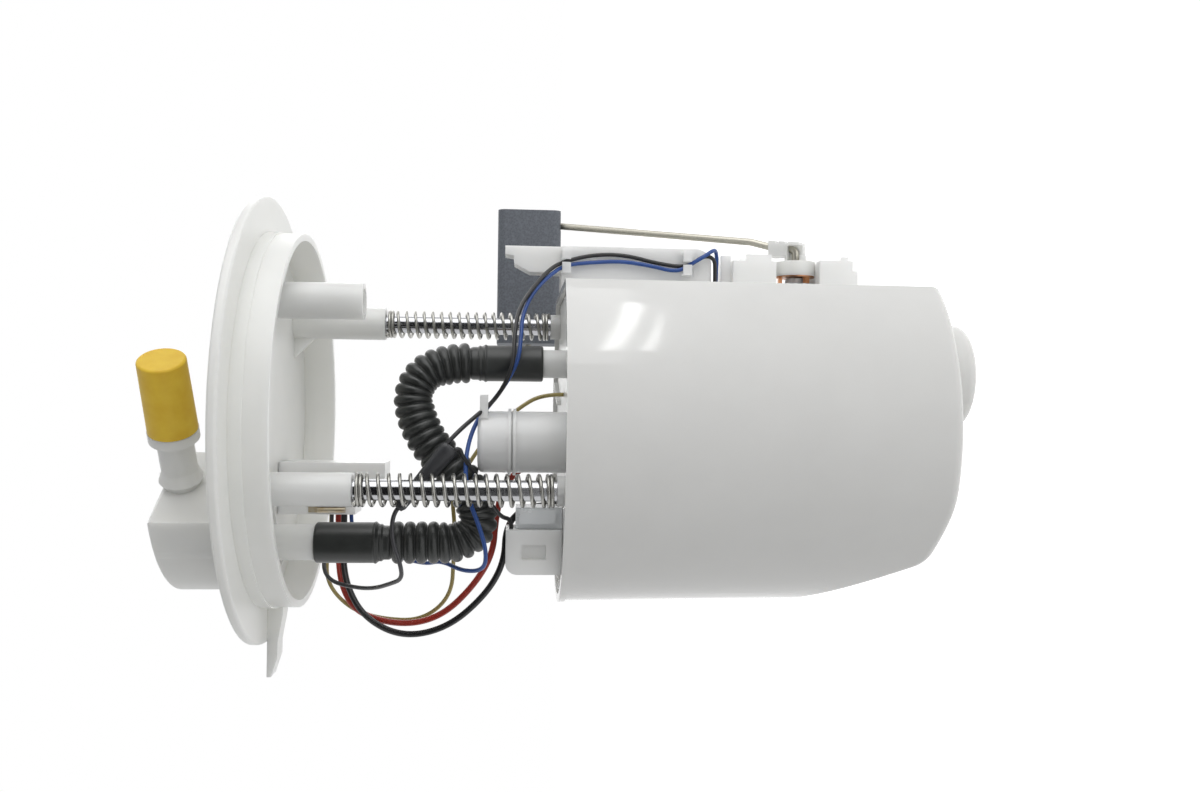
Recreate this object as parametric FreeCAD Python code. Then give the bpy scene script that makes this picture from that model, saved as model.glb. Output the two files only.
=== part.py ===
"""In-tank fuel pump module: a round tank cover with two guide rods, and a sprung reservoir
that slides on them and carries the pump, the filter and the level sender.

The module stands as it is installed. Z points up, out of the tank. The origin is the centre of
the cover's seat, which is the underside of its rim. X points to the side with the level sender.
All lengths are in millimetres.
"""

import FreeCAD, Part
import math
import os

V = FreeCAD.Vector

# Tank cover
RIM_RADIUS = 70.2
RIM_THICKNESS = 2.9
RIM_EDGE_ROUND = 0.8
SKIRT_RADIUS = 58.8
SKIRT_DEPTH = 10.7
SKIRT_WALL = 2.2
SEAT_BAND_STEP = 0.4
SEAT_BAND_DEPTH = 3.7
INDEX_TAB_REACH = 81.0
INDEX_TAB_WIDTH = 8.0
INDEX_TAB_THICKNESS = 3.3

# Guide rods and their springs
ROD_RADIUS = 3.0
NEAR_ROD = (-18.7, -44.6)
FAR_ROD = (33.3, 34.9)
COLUMN_LENGTH = 31.5
NEAR_COLUMN_RADIUS = 4.8
FAR_COLUMN_RADIUS = 5.6
ROD_SOCKET_FLOOR = 6.0
GUIDE_TOP = -89.0
GUIDE_LENGTH = 33.0
GUIDE_WALL = 1.35
ROD_TAIL = 4.0
CLIP_RADIUS = 4.4
CLIP_THICKNESS = 0.9
SPRING_RADIUS = 4.4
SPRING_WIRE_RADIUS = 0.5
SPRING_PITCH = 3.08
SPRING_SEAT_GAP = 0.1
RUNNING_CLEARANCE = 0.05
PRESS_CLEARANCE = 0.02
PART_GAP = 0.15

# Spare port on the cover
SPARE_PORT = (36.0, -25.0)
SPARE_PORT_RADIUS = 5.5
SPARE_PORT_BORE = 3.9
SPARE_PORT_DEPTH = 27.0

# Fuel outlet on the cover
OUTLET_HEIGHT = 27.0
OUTLET_CURVE_CENTRE = (-8.0, 2.0)
OUTLET_CURVE_RADIUS = 45.8
OUTLET_FACE_POINT = (-27.8, -37.0)
OUTLET_BACK_POINT = (-10.0, -9.0)
OUTLET_BACK_ANGLE = 49.3
OUTLET_WALL = 2.4
NIPPLE_ANGLE = -32.0
NIPPLE_POINT = (-17.0, -24.0)
NIPPLE_HEIGHT = 21.5
NIPPLE_NECK_RADIUS = 5.2
NIPPLE_ROOT_RADIUS = 6.4
NIPPLE_ROOT_LENGTH = 3.6
NIPPLE_COLLAR_START = 14.2
NIPPLE_COLLAR_RADIUS = 7.25
NIPPLE_COLLAR_LENGTH = 3.0
SPIGOT_RADIUS = 3.945
SPIGOT_LENGTH = 20.0
SPIGOT_BEAD_RADIUS = 5.0
SPIGOT_BEAD_AT = 9.0
SPIGOT_BEAD_LENGTH = 1.6
FUEL_BORE = 2.6
CAP_LENGTH = 23.0
CAP_BASE_RADIUS = 7.1
CAP_TOP_RADIUS = 6.75
CAP_TOP_THICKNESS = 1.8
CAP_BORE = 5.15
CAP_TOP_ROUND = 0.8

# Fuel hose and its two stubs
HOSE_STUB_COVER = (-35.6, -28.0)
HOSE_STUB_HOLDER = (18.4, -19.0)
STUB_SHOULDER_RADIUS = 5.3
STUB_SHOULDER_DEPTH = 18.7
STUB_RADIUS = 4.3
STUB_GRIP = 12.0
HOSE_OUTER_RADIUS = 6.2
HOSE_END_AT_HOLDER = -85.2
HOSE_ROUTE = [
    (-35.6, -28.0, -18.7),
    (-35.6, -28.0, -60.8),
    (-31.6, -27.6, -65.5),
    (-25.5, -26.8, -66.6),
    (-19.4, -26.0, -62.6),
    (-12.9, -25.0, -56.6),
    (-5.8, -23.8, -50.4),
    (1.8, -22.8, -46.6),
    (9.4, -21.8, -45.6),
    (15.2, -20.4, -49.6),
    (18.4, -19.0, -56.6),
    (18.4, -19.0, -85.2),
]

# Electrical socket on the cover and the harness plug under it
SOCKET_CENTRE = (-23.0, 18.0)
SOCKET_LENGTH = 24.0
SOCKET_WIDTH = 14.0
SOCKET_HEIGHT = 18.0
SOCKET_WALL = 1.8
SOCKET_FLOOR = 2.0
PIN_COUNT = 5
PIN_PITCH = 3.2
PIN_WIDTH = 1.8
PIN_THICKNESS = 0.8
PIN_TOP = 17.0
PIN_TAIL = 12.0
PLUG_X = (-31.0, -14.0)
PLUG_Y = (9.0, 25.0)
PLUG_STEP_X = -22.5
PLUG_DEEP = 34.5
PLUG_SHALLOW = 25.0
TAG_COUNT = 3

# Reservoir
CUP_TOP = -91.0
CUP_BOTTOM = -204.6
CUP_TOP_RADIUS = 56.6
CUP_BOTTOM_RADIUS = 55.4
CUP_WALL = 2.0
CUP_FLAT = 43.0
CUP_EDGE_ROUND = 3.0
CUP_LIP = 0.5
CUP_LIP_HEIGHT = 2.0
HEEL_BEND = (-22.0, 45.0)
HEEL_CORNER = (-39.5, -200.3, 8.0)
HEEL_TOP = (-59.0, -156.9)
FOOT_CENTRE = (16.0, -27.5)
FOOT_RADIUS = 15.8
FOOT_HEIGHT = 8.6
FOOT_ROUND = 3.0
SPARE_FOOT_RADIUS = 5.0
SPARE_FEET = [(-16.0, 34.0), (24.0, 24.0)]

# Holder that closes the reservoir
HOLDER_TOP = -92.5
HOLDER_THICKNESS = 3.0
REGULATOR_AXIS = (-5.5, -24.0)
REGULATOR_RADIUS = 9.25
REGULATOR_WALL = 1.6
REGULATOR_TOP = -65.8
REGULATOR_SPLIT = -76.0
REGULATOR_BAND = 0.8
REGULATOR_RING = 0.9
REGULATOR_GROOVE = 0.3
REGULATOR_SHELF = (-87.3, -84.9)
HOOK_BAR = ((1.6, 5.0), (-30.6, -22.0), (-68.8, -66.4))
HOOK_LIP = ((5.0, 8.6), (-30.6, -29.4), (-68.8, -66.4))
PUMP_PLUG_X = (-44.8, -31.5)
PUMP_PLUG_Y = (-30.0, -14.0)
PUMP_PLUG_TOP = -74.5
LOCK_X = (-31.4, -25.0)
LOCK_Y = (-27.0, -15.0)
LOCK_TOP = -77.4

# Filter and pump, on one axis
PUMP_AXIS = (-4.0, 0.0)
FILTER_TOP = -97.2
FILTER_BOTTOM = -178.0
FILTER_RADIUS = 38.0
FILTER_WALL = 1.8
FILTER_CORE_RADIUS = 20.6
FILTER_PLEATS = 40
PUMP_RADIUS = 19.0
PUMP_CASE_WALL = 1.2
PUMP_TOP = -108.0
PUMP_BOTTOM = -172.0
PUMP_NIPPLE_RADIUS = 4.5
SHAFT_RADIUS = 1.6
COMMUTATOR_RADIUS = 6.0
ARMATURE_RADIUS = 14.4
MAGNET_INNER = 15.1
ARMATURE_Z = (-152.0, -129.0)
COMMUTATOR_Z = (-126.0, -120.0)
IMPELLER_RADIUS = 15.0
IMPELLER_Z = (-165.8, -162.2)
CHAMBER_PLATE = 3.0
VALVE_SEAT_Z = -110.0
VALVE_CHAMBER_RADIUS = 3.0
VALVE_HOLE_RADIUS = 1.8
VALVE_RADIUS = 2.5
VALVE_STEM_RADIUS = 0.8

# Strainer, jet pump and foot valve
STRAINER_X = (-31.0, 22.0)
STRAINER_HALF_WIDTH = 15.0
STRAINER_Z = (-200.2, -189.0)
JET_AXIS = (-14.0, 45.3)
RETURN_TUBE_RADIUS = 3.5
JET_TOP = -190.0
JET_RADIUS = 5.2
FOOT_VALVE_RADIUS = 9.0

# Level sender on the reservoir's flat side
RAIL_Y = (-2.0, 14.0)
RAIL_HEIGHT = 14.2
RAIL_Z = (-140.0, -91.2)
RAIL_WALL = 1.8
RAIL_END_ROUND = 5.0
HOOK_Y = (0.0, 10.0)
WIRE_CLIPS_Z = (-92.6, -131.6)
SENDER_Y = (-5.0, 17.0)
SENDER_BASE = 3.0
SENDER_Z = (-189.4, -143.7)
SENDER_WALL_Y = (-3.0, 15.0)
UPPER_BLOCK_Z = (-161.3, -147.0)
UPPER_BLOCK_TOP = 53.7
UPPER_PLATE_Z = (-160.4, -151.9)
LOWER_BLOCK_Z = (-186.8, -175.8)
LOWER_BLOCK_TOP = 54.3
LOWER_NUB_Z = (-186.6, -184.2)
END_BLOCK_TOP = 55.6
NUB_TOP = 56.2
END_FOOT_TOP = 51.3
PIVOT = (6.0, -169.8)
BEARING_HEIGHT = 2.8
DISC_RADIUS = 6.5
DISC_X = (49.7, 54.5)
PIVOT_PIN_RADIUS = 2.0
CARD_THICKNESS = 0.8
WIPER_REACH = 5.2
WIPER_THICKNESS = 0.4
CLIP_BASE = 56.6
CLIP_TOP = (60.9, 62.1)
CLIP_REACH = (-2.4, 8.6)
CLIP_HALF_WIDTH = 3.0
CONTACT_X = 46.0
CONTACT_Y = (-2.2, 1.6)
SENDER_CAVITY_RADIUS = 7.4
ARM_WIRE_RADIUS = 1.2
ARM_ANGLE = 34.0
ARM_LENGTH = 106.6
ARM_HEIGHTS = ((0.0, 58.8), (9.6, 60.4), (16.1, 62.3), (84.1, 71.5))
FLOAT_X = (28.4, 78.0)
FLOAT_SIDE = 23.4
FLOAT_ROUND = 3.0
FLOAT_BORE_GAP = 0.05
FLOAT_SLOT_DEPTH = 5.6

# Wires
SENDER_WIRE_RADIUS = 0.65
POWER_WIRE_RADIUS = 1.0
SLEEVE_RADIUS = 1.8
SLEEVE_TOP = (-6.9, -37.0, -54.3)
SLEEVE_LENGTH = 21.0
SLEEVE_AIM = (-0.86, -0.02, 0.51)
TWIN_WIRE_OFFSET = 0.75
ARC_SHARE = 0.45


def post(x, y, z_low, z_high, radius):
    """Upright cylinder."""
    return Part.makeCylinder(radius, z_high - z_low, V(x, y, z_low))


def tube(x, y, z_low, z_high, outer, inner):
    """Upright tube, open at both ends."""
    return post(x, y, z_low, z_high, outer).cut(post(x, y, z_low, z_high, inner))


def block(x, y, z):
    """Box between three pairs of low and high."""
    return Part.makeBox(x[1] - x[0], y[1] - y[0], z[1] - z[0], V(x[0], y[0], z[0]))


def plate_from_xz(points, y):
    """Plate with its outline in X and Z, as thick as the pair y."""
    corners = [V(px, y[0], pz) for px, pz in points]
    face = Part.Face(Part.makePolygon(corners + corners[:1]))
    return face.extrude(V(0, y[1] - y[0], 0))


def plate_from_xy(points, z):
    """Plate with its outline in X and Y, as thick as the pair z."""
    corners = [V(px, py, z[0]) for px, py in points]
    face = Part.Face(Part.makePolygon(corners + corners[:1]))
    return face.extrude(V(0, 0, z[1] - z[0]))


def round_edges(shape, radius, wanted):
    """Rounds the edges whose bounding box passes the test."""
    edges = [edge for edge in shape.Edges if wanted(edge.BoundBox)]
    return shape.makeFillet(radius, edges)


def level(z):
    """Test for an edge that lies flat at one height."""
    return lambda bounds: abs(bounds.ZMin - z) < 0.01 and abs(bounds.ZMax - z) < 0.01


def corner_arc(before, corner, after, radius):
    """Start, middle and end of the tangent arc that rounds one corner."""
    back = (before - corner).normalize()
    ahead = (after - corner).normalize()
    half_turn = (math.pi - back.getAngle(ahead)) / 2
    reach = radius * math.tan(half_turn)
    middle = corner + (back + ahead).normalize() * (radius / math.cos(half_turn) - radius)
    return corner + back * reach, middle, corner + ahead * reach


def cord_path(points):
    """Straight runs joined by tangent arcs, each as large as its two runs allow."""
    edges = []
    radii = []
    here = points[0]
    for before, corner, after in zip(points, points[1:], points[2:]):
        shorter = min((corner - before).Length, (after - corner).Length)
        turn = math.pi - (before - corner).getAngle(after - corner)
        radius = ARC_SHARE * shorter / math.tan(turn / 2)
        start, middle, end = corner_arc(before, corner, after, radius)
        edges.append(Part.LineSegment(here, start).toShape())
        edges.append(Part.Arc(start, middle, end).toShape())
        radii.append(radius)
        here = end
    edges.append(Part.LineSegment(here, points[-1]).toShape())
    return Part.Wire(edges), radii


def swept(path, points, radius):
    """Solid of a round section along a path."""
    ring = Part.Circle(points[0], points[1] - points[0], radius).toShape()
    return path.makePipe(Part.Face(Part.Wire(ring)))


def cord(name, route, radius):
    """Cord of one radius along its route; prints its length and its radii."""
    points = [V(*point) for point in route]
    path, radii = cord_path(points)
    solid = swept(path, points, radius)
    expected = math.pi * radius**2 * path.Length
    print(
        name,
        "length", round(path.Length, 1),
        "volume share", round(solid.Volume / expected, 4),
        "smallest radius", round(min(radii), 1),
        "radii", [round(value, 1) for value in radii],
    )
    return solid


def coil(x, y, z_low, z_high, radius, wire_radius, pitch):
    """Compression spring on an upright axis, as one wound wire."""
    height = z_high - z_low - 2 * wire_radius
    helix = Part.makeHelix(pitch, height, radius)
    start = V(radius, 0, 0)
    along = V(0, 2 * math.pi * radius, pitch)
    section = Part.Wire(Part.Circle(start, along, wire_radius).toShape())
    spring = Part.Wire(helix).makePipeShell([section], True, True)
    spring.translate(V(x, y, z_low + wire_radius))
    return spring


def save(name, shape):
    """One STEP file per piece."""
    shape.exportStep("parts/" + name + ".step")


nipple_aim = V(math.cos(math.radians(NIPPLE_ANGLE)), math.sin(math.radians(NIPPLE_ANGLE)), 0)
nipple_base = V(NIPPLE_POINT[0], NIPPLE_POINT[1], NIPPLE_HEIGHT)


def on_nipple(start, length, radius):
    """Round piece on the outlet nipple's axis."""
    return Part.makeCylinder(radius, length, nipple_base + nipple_aim * start, nipple_aim)


cap_start = NIPPLE_COLLAR_START + NIPPLE_COLLAR_LENGTH + PART_GAP


def outlet_outline(inset, z):
    """Plan of the outlet housing: a round wall between a front face and a back face."""
    disc = post(OUTLET_CURVE_CENTRE[0], OUTLET_CURVE_CENTRE[1], z[0], z[1], OUTLET_CURVE_RADIUS - inset)
    back_aim = math.radians(OUTLET_BACK_ANGLE)
    faces = (
        (OUTLET_FACE_POINT, nipple_aim),
        (OUTLET_BACK_POINT, V(math.cos(back_aim), math.sin(back_aim), 0)),
    )
    size = 2 * RIM_RADIUS
    for point, aim in faces:
        away = Part.makeBox(size, 2 * size, z[1] - z[0], V(0, -size, z[0]))
        away.rotate(V(0, 0, 0), V(0, 0, 1), math.degrees(math.atan2(aim.y, aim.x)))
        away.translate(V(point[0], point[1], 0) - aim * inset)
        disc = disc.cut(away)
    return disc


def make_cover():
    """Cover disc with its skirt, columns, ports, outlet housing and electrical socket."""
    rim = round_edges(post(0, 0, 0, RIM_THICKNESS, RIM_RADIUS), RIM_EDGE_ROUND, lambda b: b.XLength > 1)
    band = post(0, 0, -SEAT_BAND_DEPTH, 0, SKIRT_RADIUS + SEAT_BAND_STEP)
    skirt = post(0, 0, -SKIRT_DEPTH, 0, SKIRT_RADIUS)
    recess = post(0, 0, -SKIRT_DEPTH, 0, SKIRT_RADIUS - SKIRT_WALL)
    body = rim.fuse([band, skirt]).cut(recess)

    tab_root = SKIRT_RADIUS - SKIRT_WALL
    tab = plate_from_xz(
        [
            (-tab_root, 0),
            (-INDEX_TAB_REACH, 0),
            (-INDEX_TAB_REACH, -INDEX_TAB_THICKNESS * 0.4),
            (-INDEX_TAB_REACH + 6.4, -INDEX_TAB_THICKNESS),
            (-RIM_RADIUS, -INDEX_TAB_THICKNESS),
            (-SKIRT_RADIUS - 2.5, -INDEX_TAB_THICKNESS - 1.5),
            (-tab_root, -INDEX_TAB_THICKNESS - 1.5),
        ],
        (-INDEX_TAB_WIDTH / 2, INDEX_TAB_WIDTH / 2),
    )

    housing = outlet_outline(0, (0, OUTLET_HEIGHT))
    housing = round_edges(housing, OUTLET_WALL / 2, level(OUTLET_HEIGHT))
    hollow = outlet_outline(OUTLET_WALL, (0, OUTLET_HEIGHT - OUTLET_WALL))
    stub_x, stub_y = HOSE_STUB_COVER
    riser_top = NIPPLE_HEIGHT + STUB_RADIUS
    riser = post(stub_x, stub_y, -STUB_SHOULDER_DEPTH, riser_top, STUB_SHOULDER_RADIUS)
    elbow_end = nipple_base - nipple_aim * (NIPPLE_NECK_RADIUS + 2 * OUTLET_WALL)
    elbow_start = V(stub_x, stub_y, NIPPLE_HEIGHT)
    elbow = elbow_end - elbow_start
    gallery = Part.makeCylinder(NIPPLE_NECK_RADIUS, elbow.Length, elbow_start, elbow)
    inward = (nipple_base - elbow_end).Length
    neck = on_nipple(-inward, inward + NIPPLE_COLLAR_START, NIPPLE_NECK_RADIUS)

    pieces = [
        tab,
        riser,
        post(stub_x, stub_y, -STUB_SHOULDER_DEPTH - STUB_GRIP, 0, STUB_RADIUS),
        gallery,
        neck,
        Part.makeCone(NIPPLE_ROOT_RADIUS, NIPPLE_NECK_RADIUS, NIPPLE_ROOT_LENGTH, nipple_base, nipple_aim),
        on_nipple(NIPPLE_COLLAR_START, NIPPLE_COLLAR_LENGTH, NIPPLE_COLLAR_RADIUS),
        on_nipple(NIPPLE_COLLAR_START, NIPPLE_COLLAR_LENGTH + SPIGOT_LENGTH, SPIGOT_RADIUS),
        on_nipple(cap_start + SPIGOT_BEAD_AT, SPIGOT_BEAD_LENGTH, SPIGOT_BEAD_RADIUS),
        post(SPARE_PORT[0], SPARE_PORT[1], -COLUMN_LENGTH, 0, SPARE_PORT_RADIUS),
        post(NEAR_ROD[0], NEAR_ROD[1], -COLUMN_LENGTH, 0, NEAR_COLUMN_RADIUS),
        post(FAR_ROD[0], FAR_ROD[1], -COLUMN_LENGTH, 0, FAR_COLUMN_RADIUS),
        column_gusset(),
        socket_wall(),
    ]
    body = body.fuse(housing).cut(hollow).fuse(pieces)

    for x, y in (NEAR_ROD, FAR_ROD):
        body = body.cut(post(x, y, -COLUMN_LENGTH, -ROD_SOCKET_FLOOR, ROD_RADIUS + PRESS_CLEARANCE))
    port_mouth = -COLUMN_LENGTH
    body = body.cut(post(SPARE_PORT[0], SPARE_PORT[1], port_mouth, port_mouth + SPARE_PORT_DEPTH, SPARE_PORT_BORE))
    body = body.cut(post(stub_x, stub_y, -STUB_SHOULDER_DEPTH - STUB_GRIP, NIPPLE_HEIGHT, FUEL_BORE))
    body = body.cut(Part.makeCylinder(FUEL_BORE, elbow.Length, elbow_start, elbow))
    spigot_end = NIPPLE_COLLAR_START + NIPPLE_COLLAR_LENGTH + SPIGOT_LENGTH
    body = body.cut(on_nipple(-inward, inward + spigot_end, FUEL_BORE))
    for x, y in pin_places():
        body = body.cut(pin_at(x, y, 0, RIM_THICKNESS + SOCKET_FLOOR))
    return body.removeSplitter()


def column_gusset():
    """Web that braces the far column on the cover."""
    x, y = FAR_ROD
    height = COLUMN_LENGTH * 0.4
    reach = FAR_COLUMN_RADIUS * 2.2
    web = plate_from_xz([(x, 0), (x - reach, 0), (x, -height)], (y - 1, y + 1))
    return web


def socket_box(inset, z):
    """Block with the electrical socket's plan, less an inset all round."""
    x, y = SOCKET_CENTRE
    half_x = SOCKET_LENGTH / 2 - inset
    half_y = SOCKET_WIDTH / 2 - inset
    return block((x - half_x, x + half_x), (y - half_y, y + half_y), z)


def socket_wall():
    """Open shroud of the electrical socket on top of the cover, with its latch rib."""
    top = RIM_THICKNESS + SOCKET_HEIGHT
    floor = RIM_THICKNESS + SOCKET_FLOOR
    shroud = socket_box(0, (0, top)).cut(socket_box(SOCKET_WALL, (floor, top)))
    x, y = SOCKET_CENTRE
    latch_y = y + SOCKET_WIDTH / 2
    latch = plate_from_yz_wedge(x, latch_y, top)
    return shroud.fuse(latch)


def plate_from_yz_wedge(x, y, top):
    """Wedge that a plug's latch snaps over, on the socket's far wall."""
    half = SOCKET_LENGTH / 6
    wedge = block((x - half, x + half), (y, y + SOCKET_WALL), (top - 7, top - 3))
    return wedge


def pin_places():
    """Pins in one row along the socket's length."""
    x, y = SOCKET_CENTRE
    return [(x + PIN_PITCH * (i - (PIN_COUNT - 1) / 2), y) for i in range(PIN_COUNT)]


def pin_at(x, y, z_low, z_high):
    """Flat blade of one socket pin."""
    half_width = PIN_WIDTH / 2
    half_thickness = PIN_THICKNESS / 2
    return block(
        (x - half_thickness, x + half_thickness), (y - half_width, y + half_width), (z_low, z_high)
    )


def make_pins():
    return Part.Compound([pin_at(x, y, -PIN_TAIL, PIN_TOP) for x, y in pin_places()])


def make_harness_plug():
    """Stepped plug that the wires enter, pushed on the pins under the cover."""
    deep = block((PLUG_STEP_X, PLUG_X[1]), PLUG_Y, (-PLUG_DEEP, -PART_GAP))
    shallow = block((PLUG_X[0], PLUG_STEP_X), PLUG_Y, (-PLUG_SHALLOW, -PART_GAP))
    plug = deep.fuse(shallow).removeSplitter()
    slots = [pin_at(x, y, -PIN_TAIL - PART_GAP, 0) for x, y in pin_places()]
    return plug.cut(slots)


def make_wire_tags():
    """Crimped tags on the near face of the harness plug, side by side."""
    tags = []
    for i in range(TAG_COUNT):
        x = PLUG_X[0] + 1.6 + 2.6 * i
        y = PLUG_Y[0]
        blade = block((x - 0.9, x + 0.9), (y - 0.5, y), (-13.0, -10.0))
        crimp = Part.makeCylinder(0.9, 9.0, V(x, y - 0.9, -22.0))
        tags.append(blade.fuse(crimp.fuse(block((x - 0.4, x + 0.4), (y - 0.9, y), (-22.0, -12.0)))))
    return Part.Compound([tag.removeSplitter() for tag in tags])


def make_cap():
    """Push-on cap that closes the outlet nipple: a tapered cup."""
    start = nipple_base + nipple_aim * cap_start
    outside = Part.makeCone(CAP_BASE_RADIUS, CAP_TOP_RADIUS, CAP_LENGTH, start, nipple_aim)
    top = start + nipple_aim * CAP_LENGTH
    edges = [e for e in outside.Edges if (e.CenterOfMass - top).Length < 0.1]
    outside = outside.makeFillet(CAP_TOP_ROUND, edges)
    return outside.cut(on_nipple(cap_start, CAP_LENGTH - CAP_TOP_THICKNESS, CAP_BORE))


rod_top = -ROD_SOCKET_FLOOR - PART_GAP
guide_bottom = GUIDE_TOP - GUIDE_LENGTH
clip_top = guide_bottom - PART_GAP
rod_bottom = clip_top - CLIP_THICKNESS - ROD_TAIL
guide_radius = ROD_RADIUS + GUIDE_WALL


def make_rod(place):
    """Polished rod with rounded ends, pressed in its column."""
    rod = post(place[0], place[1], rod_bottom, rod_top, ROD_RADIUS)
    return rod.makeChamfer(0.5, [e for e in rod.Edges if e.BoundBox.ZLength < 0.01])


def make_rod_clips():
    """Push-on washers that keep the rods in their guides."""
    z = (clip_top - CLIP_THICKNESS, clip_top)
    inner = ROD_RADIUS + PRESS_CLEARANCE
    return Part.Compound([tube(x, y, z[0], z[1], CLIP_RADIUS, inner) for x, y in (NEAR_ROD, FAR_ROD)])


def make_guide_spring(place):
    """Spring around a guide rod, between its column and the holder's guide."""
    low = GUIDE_TOP + SPRING_SEAT_GAP
    high = -COLUMN_LENGTH - SPRING_SEAT_GAP
    return coil(place[0], place[1], low, high, SPRING_RADIUS, SPRING_WIRE_RADIUS, SPRING_PITCH)


def heel_outline(inset):
    """Side outline of the reservoir: a flat bottom that curves up into a slanted heel."""
    bottom = CUP_BOTTOM + inset
    side = RIM_RADIUS
    heel_x, heel_z, heel_round = HEEL_CORNER
    corners = [
        V(side, 0, bottom),
        V(HEEL_BEND[0], 0, bottom),
        V(heel_x + inset, 0, heel_z + inset / 2),
        V(HEEL_TOP[0] + inset, 0, HEEL_TOP[1]),
    ]
    first = corner_arc(corners[0], corners[1], corners[2], HEEL_BEND[1])
    second = corner_arc(corners[1], corners[2], corners[3], heel_round)
    top_left = V(HEEL_TOP[0] + inset, 0, CUP_TOP)
    top_right = V(side, 0, CUP_TOP)
    edges = [
        Part.LineSegment(corners[0], first[0]).toShape(),
        Part.Arc(*first).toShape(),
        Part.LineSegment(first[2], second[0]).toShape(),
        Part.Arc(*second).toShape(),
        Part.LineSegment(second[2], corners[3]).toShape(),
        Part.LineSegment(corners[3], top_left).toShape(),
        Part.LineSegment(top_left, top_right).toShape(),
        Part.LineSegment(top_right, corners[0]).toShape(),
    ]
    return Part.Face(Part.Wire(edges))


def cup_body(inset):
    """Reservoir's outer form, or its inside when inset by the wall."""
    height = CUP_TOP - CUP_BOTTOM
    place = V(0, 0, CUP_BOTTOM)
    cone = Part.makeCone(CUP_BOTTOM_RADIUS - inset, CUP_TOP_RADIUS - inset, height, place)
    side = RIM_RADIUS
    keep = block((-side, CUP_FLAT - inset), (-side, side), (CUP_BOTTOM + inset, CUP_TOP))
    outline = heel_outline(inset)
    outline.translate(V(0, -side, 0))
    return cone.common(keep).common(outline.extrude(V(0, 2 * side, 0)))


def foot_drum(inset, top):
    """Round foot under the reservoir, with a rounded edge."""
    bottom = CUP_BOTTOM - FOOT_HEIGHT + inset
    drum = post(FOOT_CENTRE[0], FOOT_CENTRE[1], bottom, top, FOOT_RADIUS - inset)
    return round_edges(drum, FOOT_ROUND - inset / 2, level(bottom))


def inlet_holes():
    """Holes of the foot: a ring of inlets and the valve's stem hole in the middle."""
    x, y = FOOT_CENTRE
    low = CUP_BOTTOM - FOOT_HEIGHT
    holes = [post(x, y, low, low + 2 * CUP_WALL, 1.5)]
    for i in range(6):
        turn = math.radians(60 * i)
        hole_x = x + 5.2 * math.cos(turn)
        hole_y = y + 5.2 * math.sin(turn)
        holes.append(post(hole_x, hole_y, low, low + 2 * CUP_WALL, 1.6))
    return holes


def make_cup():
    """Reservoir: a drafted cup with a flat side, a slanted heel and a valve foot."""
    outside = round_edges(cup_body(0), CUP_EDGE_ROUND, level(CUP_BOTTOM))
    inside = cup_body(CUP_WALL)
    lip_low = CUP_TOP - CUP_LIP_HEIGHT
    lip = post(0, 0, lip_low, CUP_TOP, CUP_TOP_RADIUS + CUP_LIP)
    side = RIM_RADIUS
    lip = lip.common(block((-side, CUP_FLAT), (-side, side), (lip_low, CUP_TOP)))
    feet = [
        post(x, y, CUP_BOTTOM - FOOT_HEIGHT, CUP_BOTTOM + CUP_WALL, SPARE_FOOT_RADIUS)
        for x, y in SPARE_FEET
    ]
    cup = outside.fuse([lip, foot_drum(0, CUP_BOTTOM + CUP_WALL)] + feet)
    cup = cup.cut(inside).cut(foot_drum(CUP_WALL, CUP_BOTTOM + 2 * CUP_WALL))
    return cup.cut(inlet_holes()).removeSplitter()


def make_holder():
    """Holder that closes the reservoir: plate, rod guides, hose stub, regulator seat and pump seat."""
    low = HOLDER_TOP - HOLDER_THICKNESS
    side = RIM_RADIUS
    slab = cup_body(CUP_WALL + PART_GAP).common(block((-side, side), (-side, side), (low, HOLDER_TOP)))
    stub_x, stub_y = HOSE_STUB_HOLDER
    stub_top = HOSE_END_AT_HOLDER + STUB_GRIP
    reg_x, reg_y = REGULATOR_AXIS
    axis_x, axis_y = PUMP_AXIS
    pieces = [
        post(stub_x, stub_y, low, stub_top, STUB_RADIUS),
        post(axis_x, axis_y, low - 5.0, low, PUMP_NIPPLE_RADIUS + 2.0),
        block((PUMP_PLUG_X[0], LOCK_X[1]), PUMP_PLUG_Y, (low, HOLDER_TOP + 1.0)),
    ]
    for x, y in (NEAR_ROD, FAR_ROD):
        pieces.append(post(x, y, guide_bottom, GUIDE_TOP, guide_radius))
    for turn in (75, 110, 145, 180):
        rib = block((0, 26.0), (-0.8, 0.8), (HOLDER_TOP, HOLDER_TOP + 1.4))
        rib.translate(V(FILTER_CORE_RADIUS + 4, 0, 0))
        rib.rotate(V(0, 0, 0), V(0, 0, 1), turn)
        pieces.append(rib)
    holder = slab.fuse(pieces)
    for x, y in (NEAR_ROD, FAR_ROD):
        holder = holder.cut(post(x, y, guide_bottom, GUIDE_TOP, ROD_RADIUS + RUNNING_CLEARANCE))
    holder = holder.cut(post(stub_x, stub_y, low, stub_top, FUEL_BORE))
    nipple_hole = PUMP_NIPPLE_RADIUS + PART_GAP
    holder = holder.cut(post(axis_x, axis_y, low - 5.0, low + HOLDER_THICKNESS / 2, nipple_hole))
    holder = holder.cut(post(reg_x, reg_y, low, HOLDER_TOP, REGULATOR_RADIUS - REGULATOR_WALL))
    return holder.removeSplitter()


def make_regulator_housing():
    """Lower half of the regulator's round housing, open at both ends, with a joint band."""
    x, y = REGULATOR_AXIS
    inner = REGULATOR_RADIUS - REGULATOR_WALL
    wall = tube(x, y, HOLDER_TOP, REGULATOR_SPLIT, REGULATOR_RADIUS, inner)
    ring_top = REGULATOR_SPLIT - REGULATOR_GROOVE
    band = tube(x, y, ring_top - REGULATOR_RING, ring_top, REGULATOR_RADIUS + REGULATOR_BAND, inner)
    shelf = tube(x, y, REGULATOR_SHELF[0], REGULATOR_SHELF[1], inner, inner - 2.4)
    return wall.fuse([band, shelf]).removeSplitter()


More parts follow.
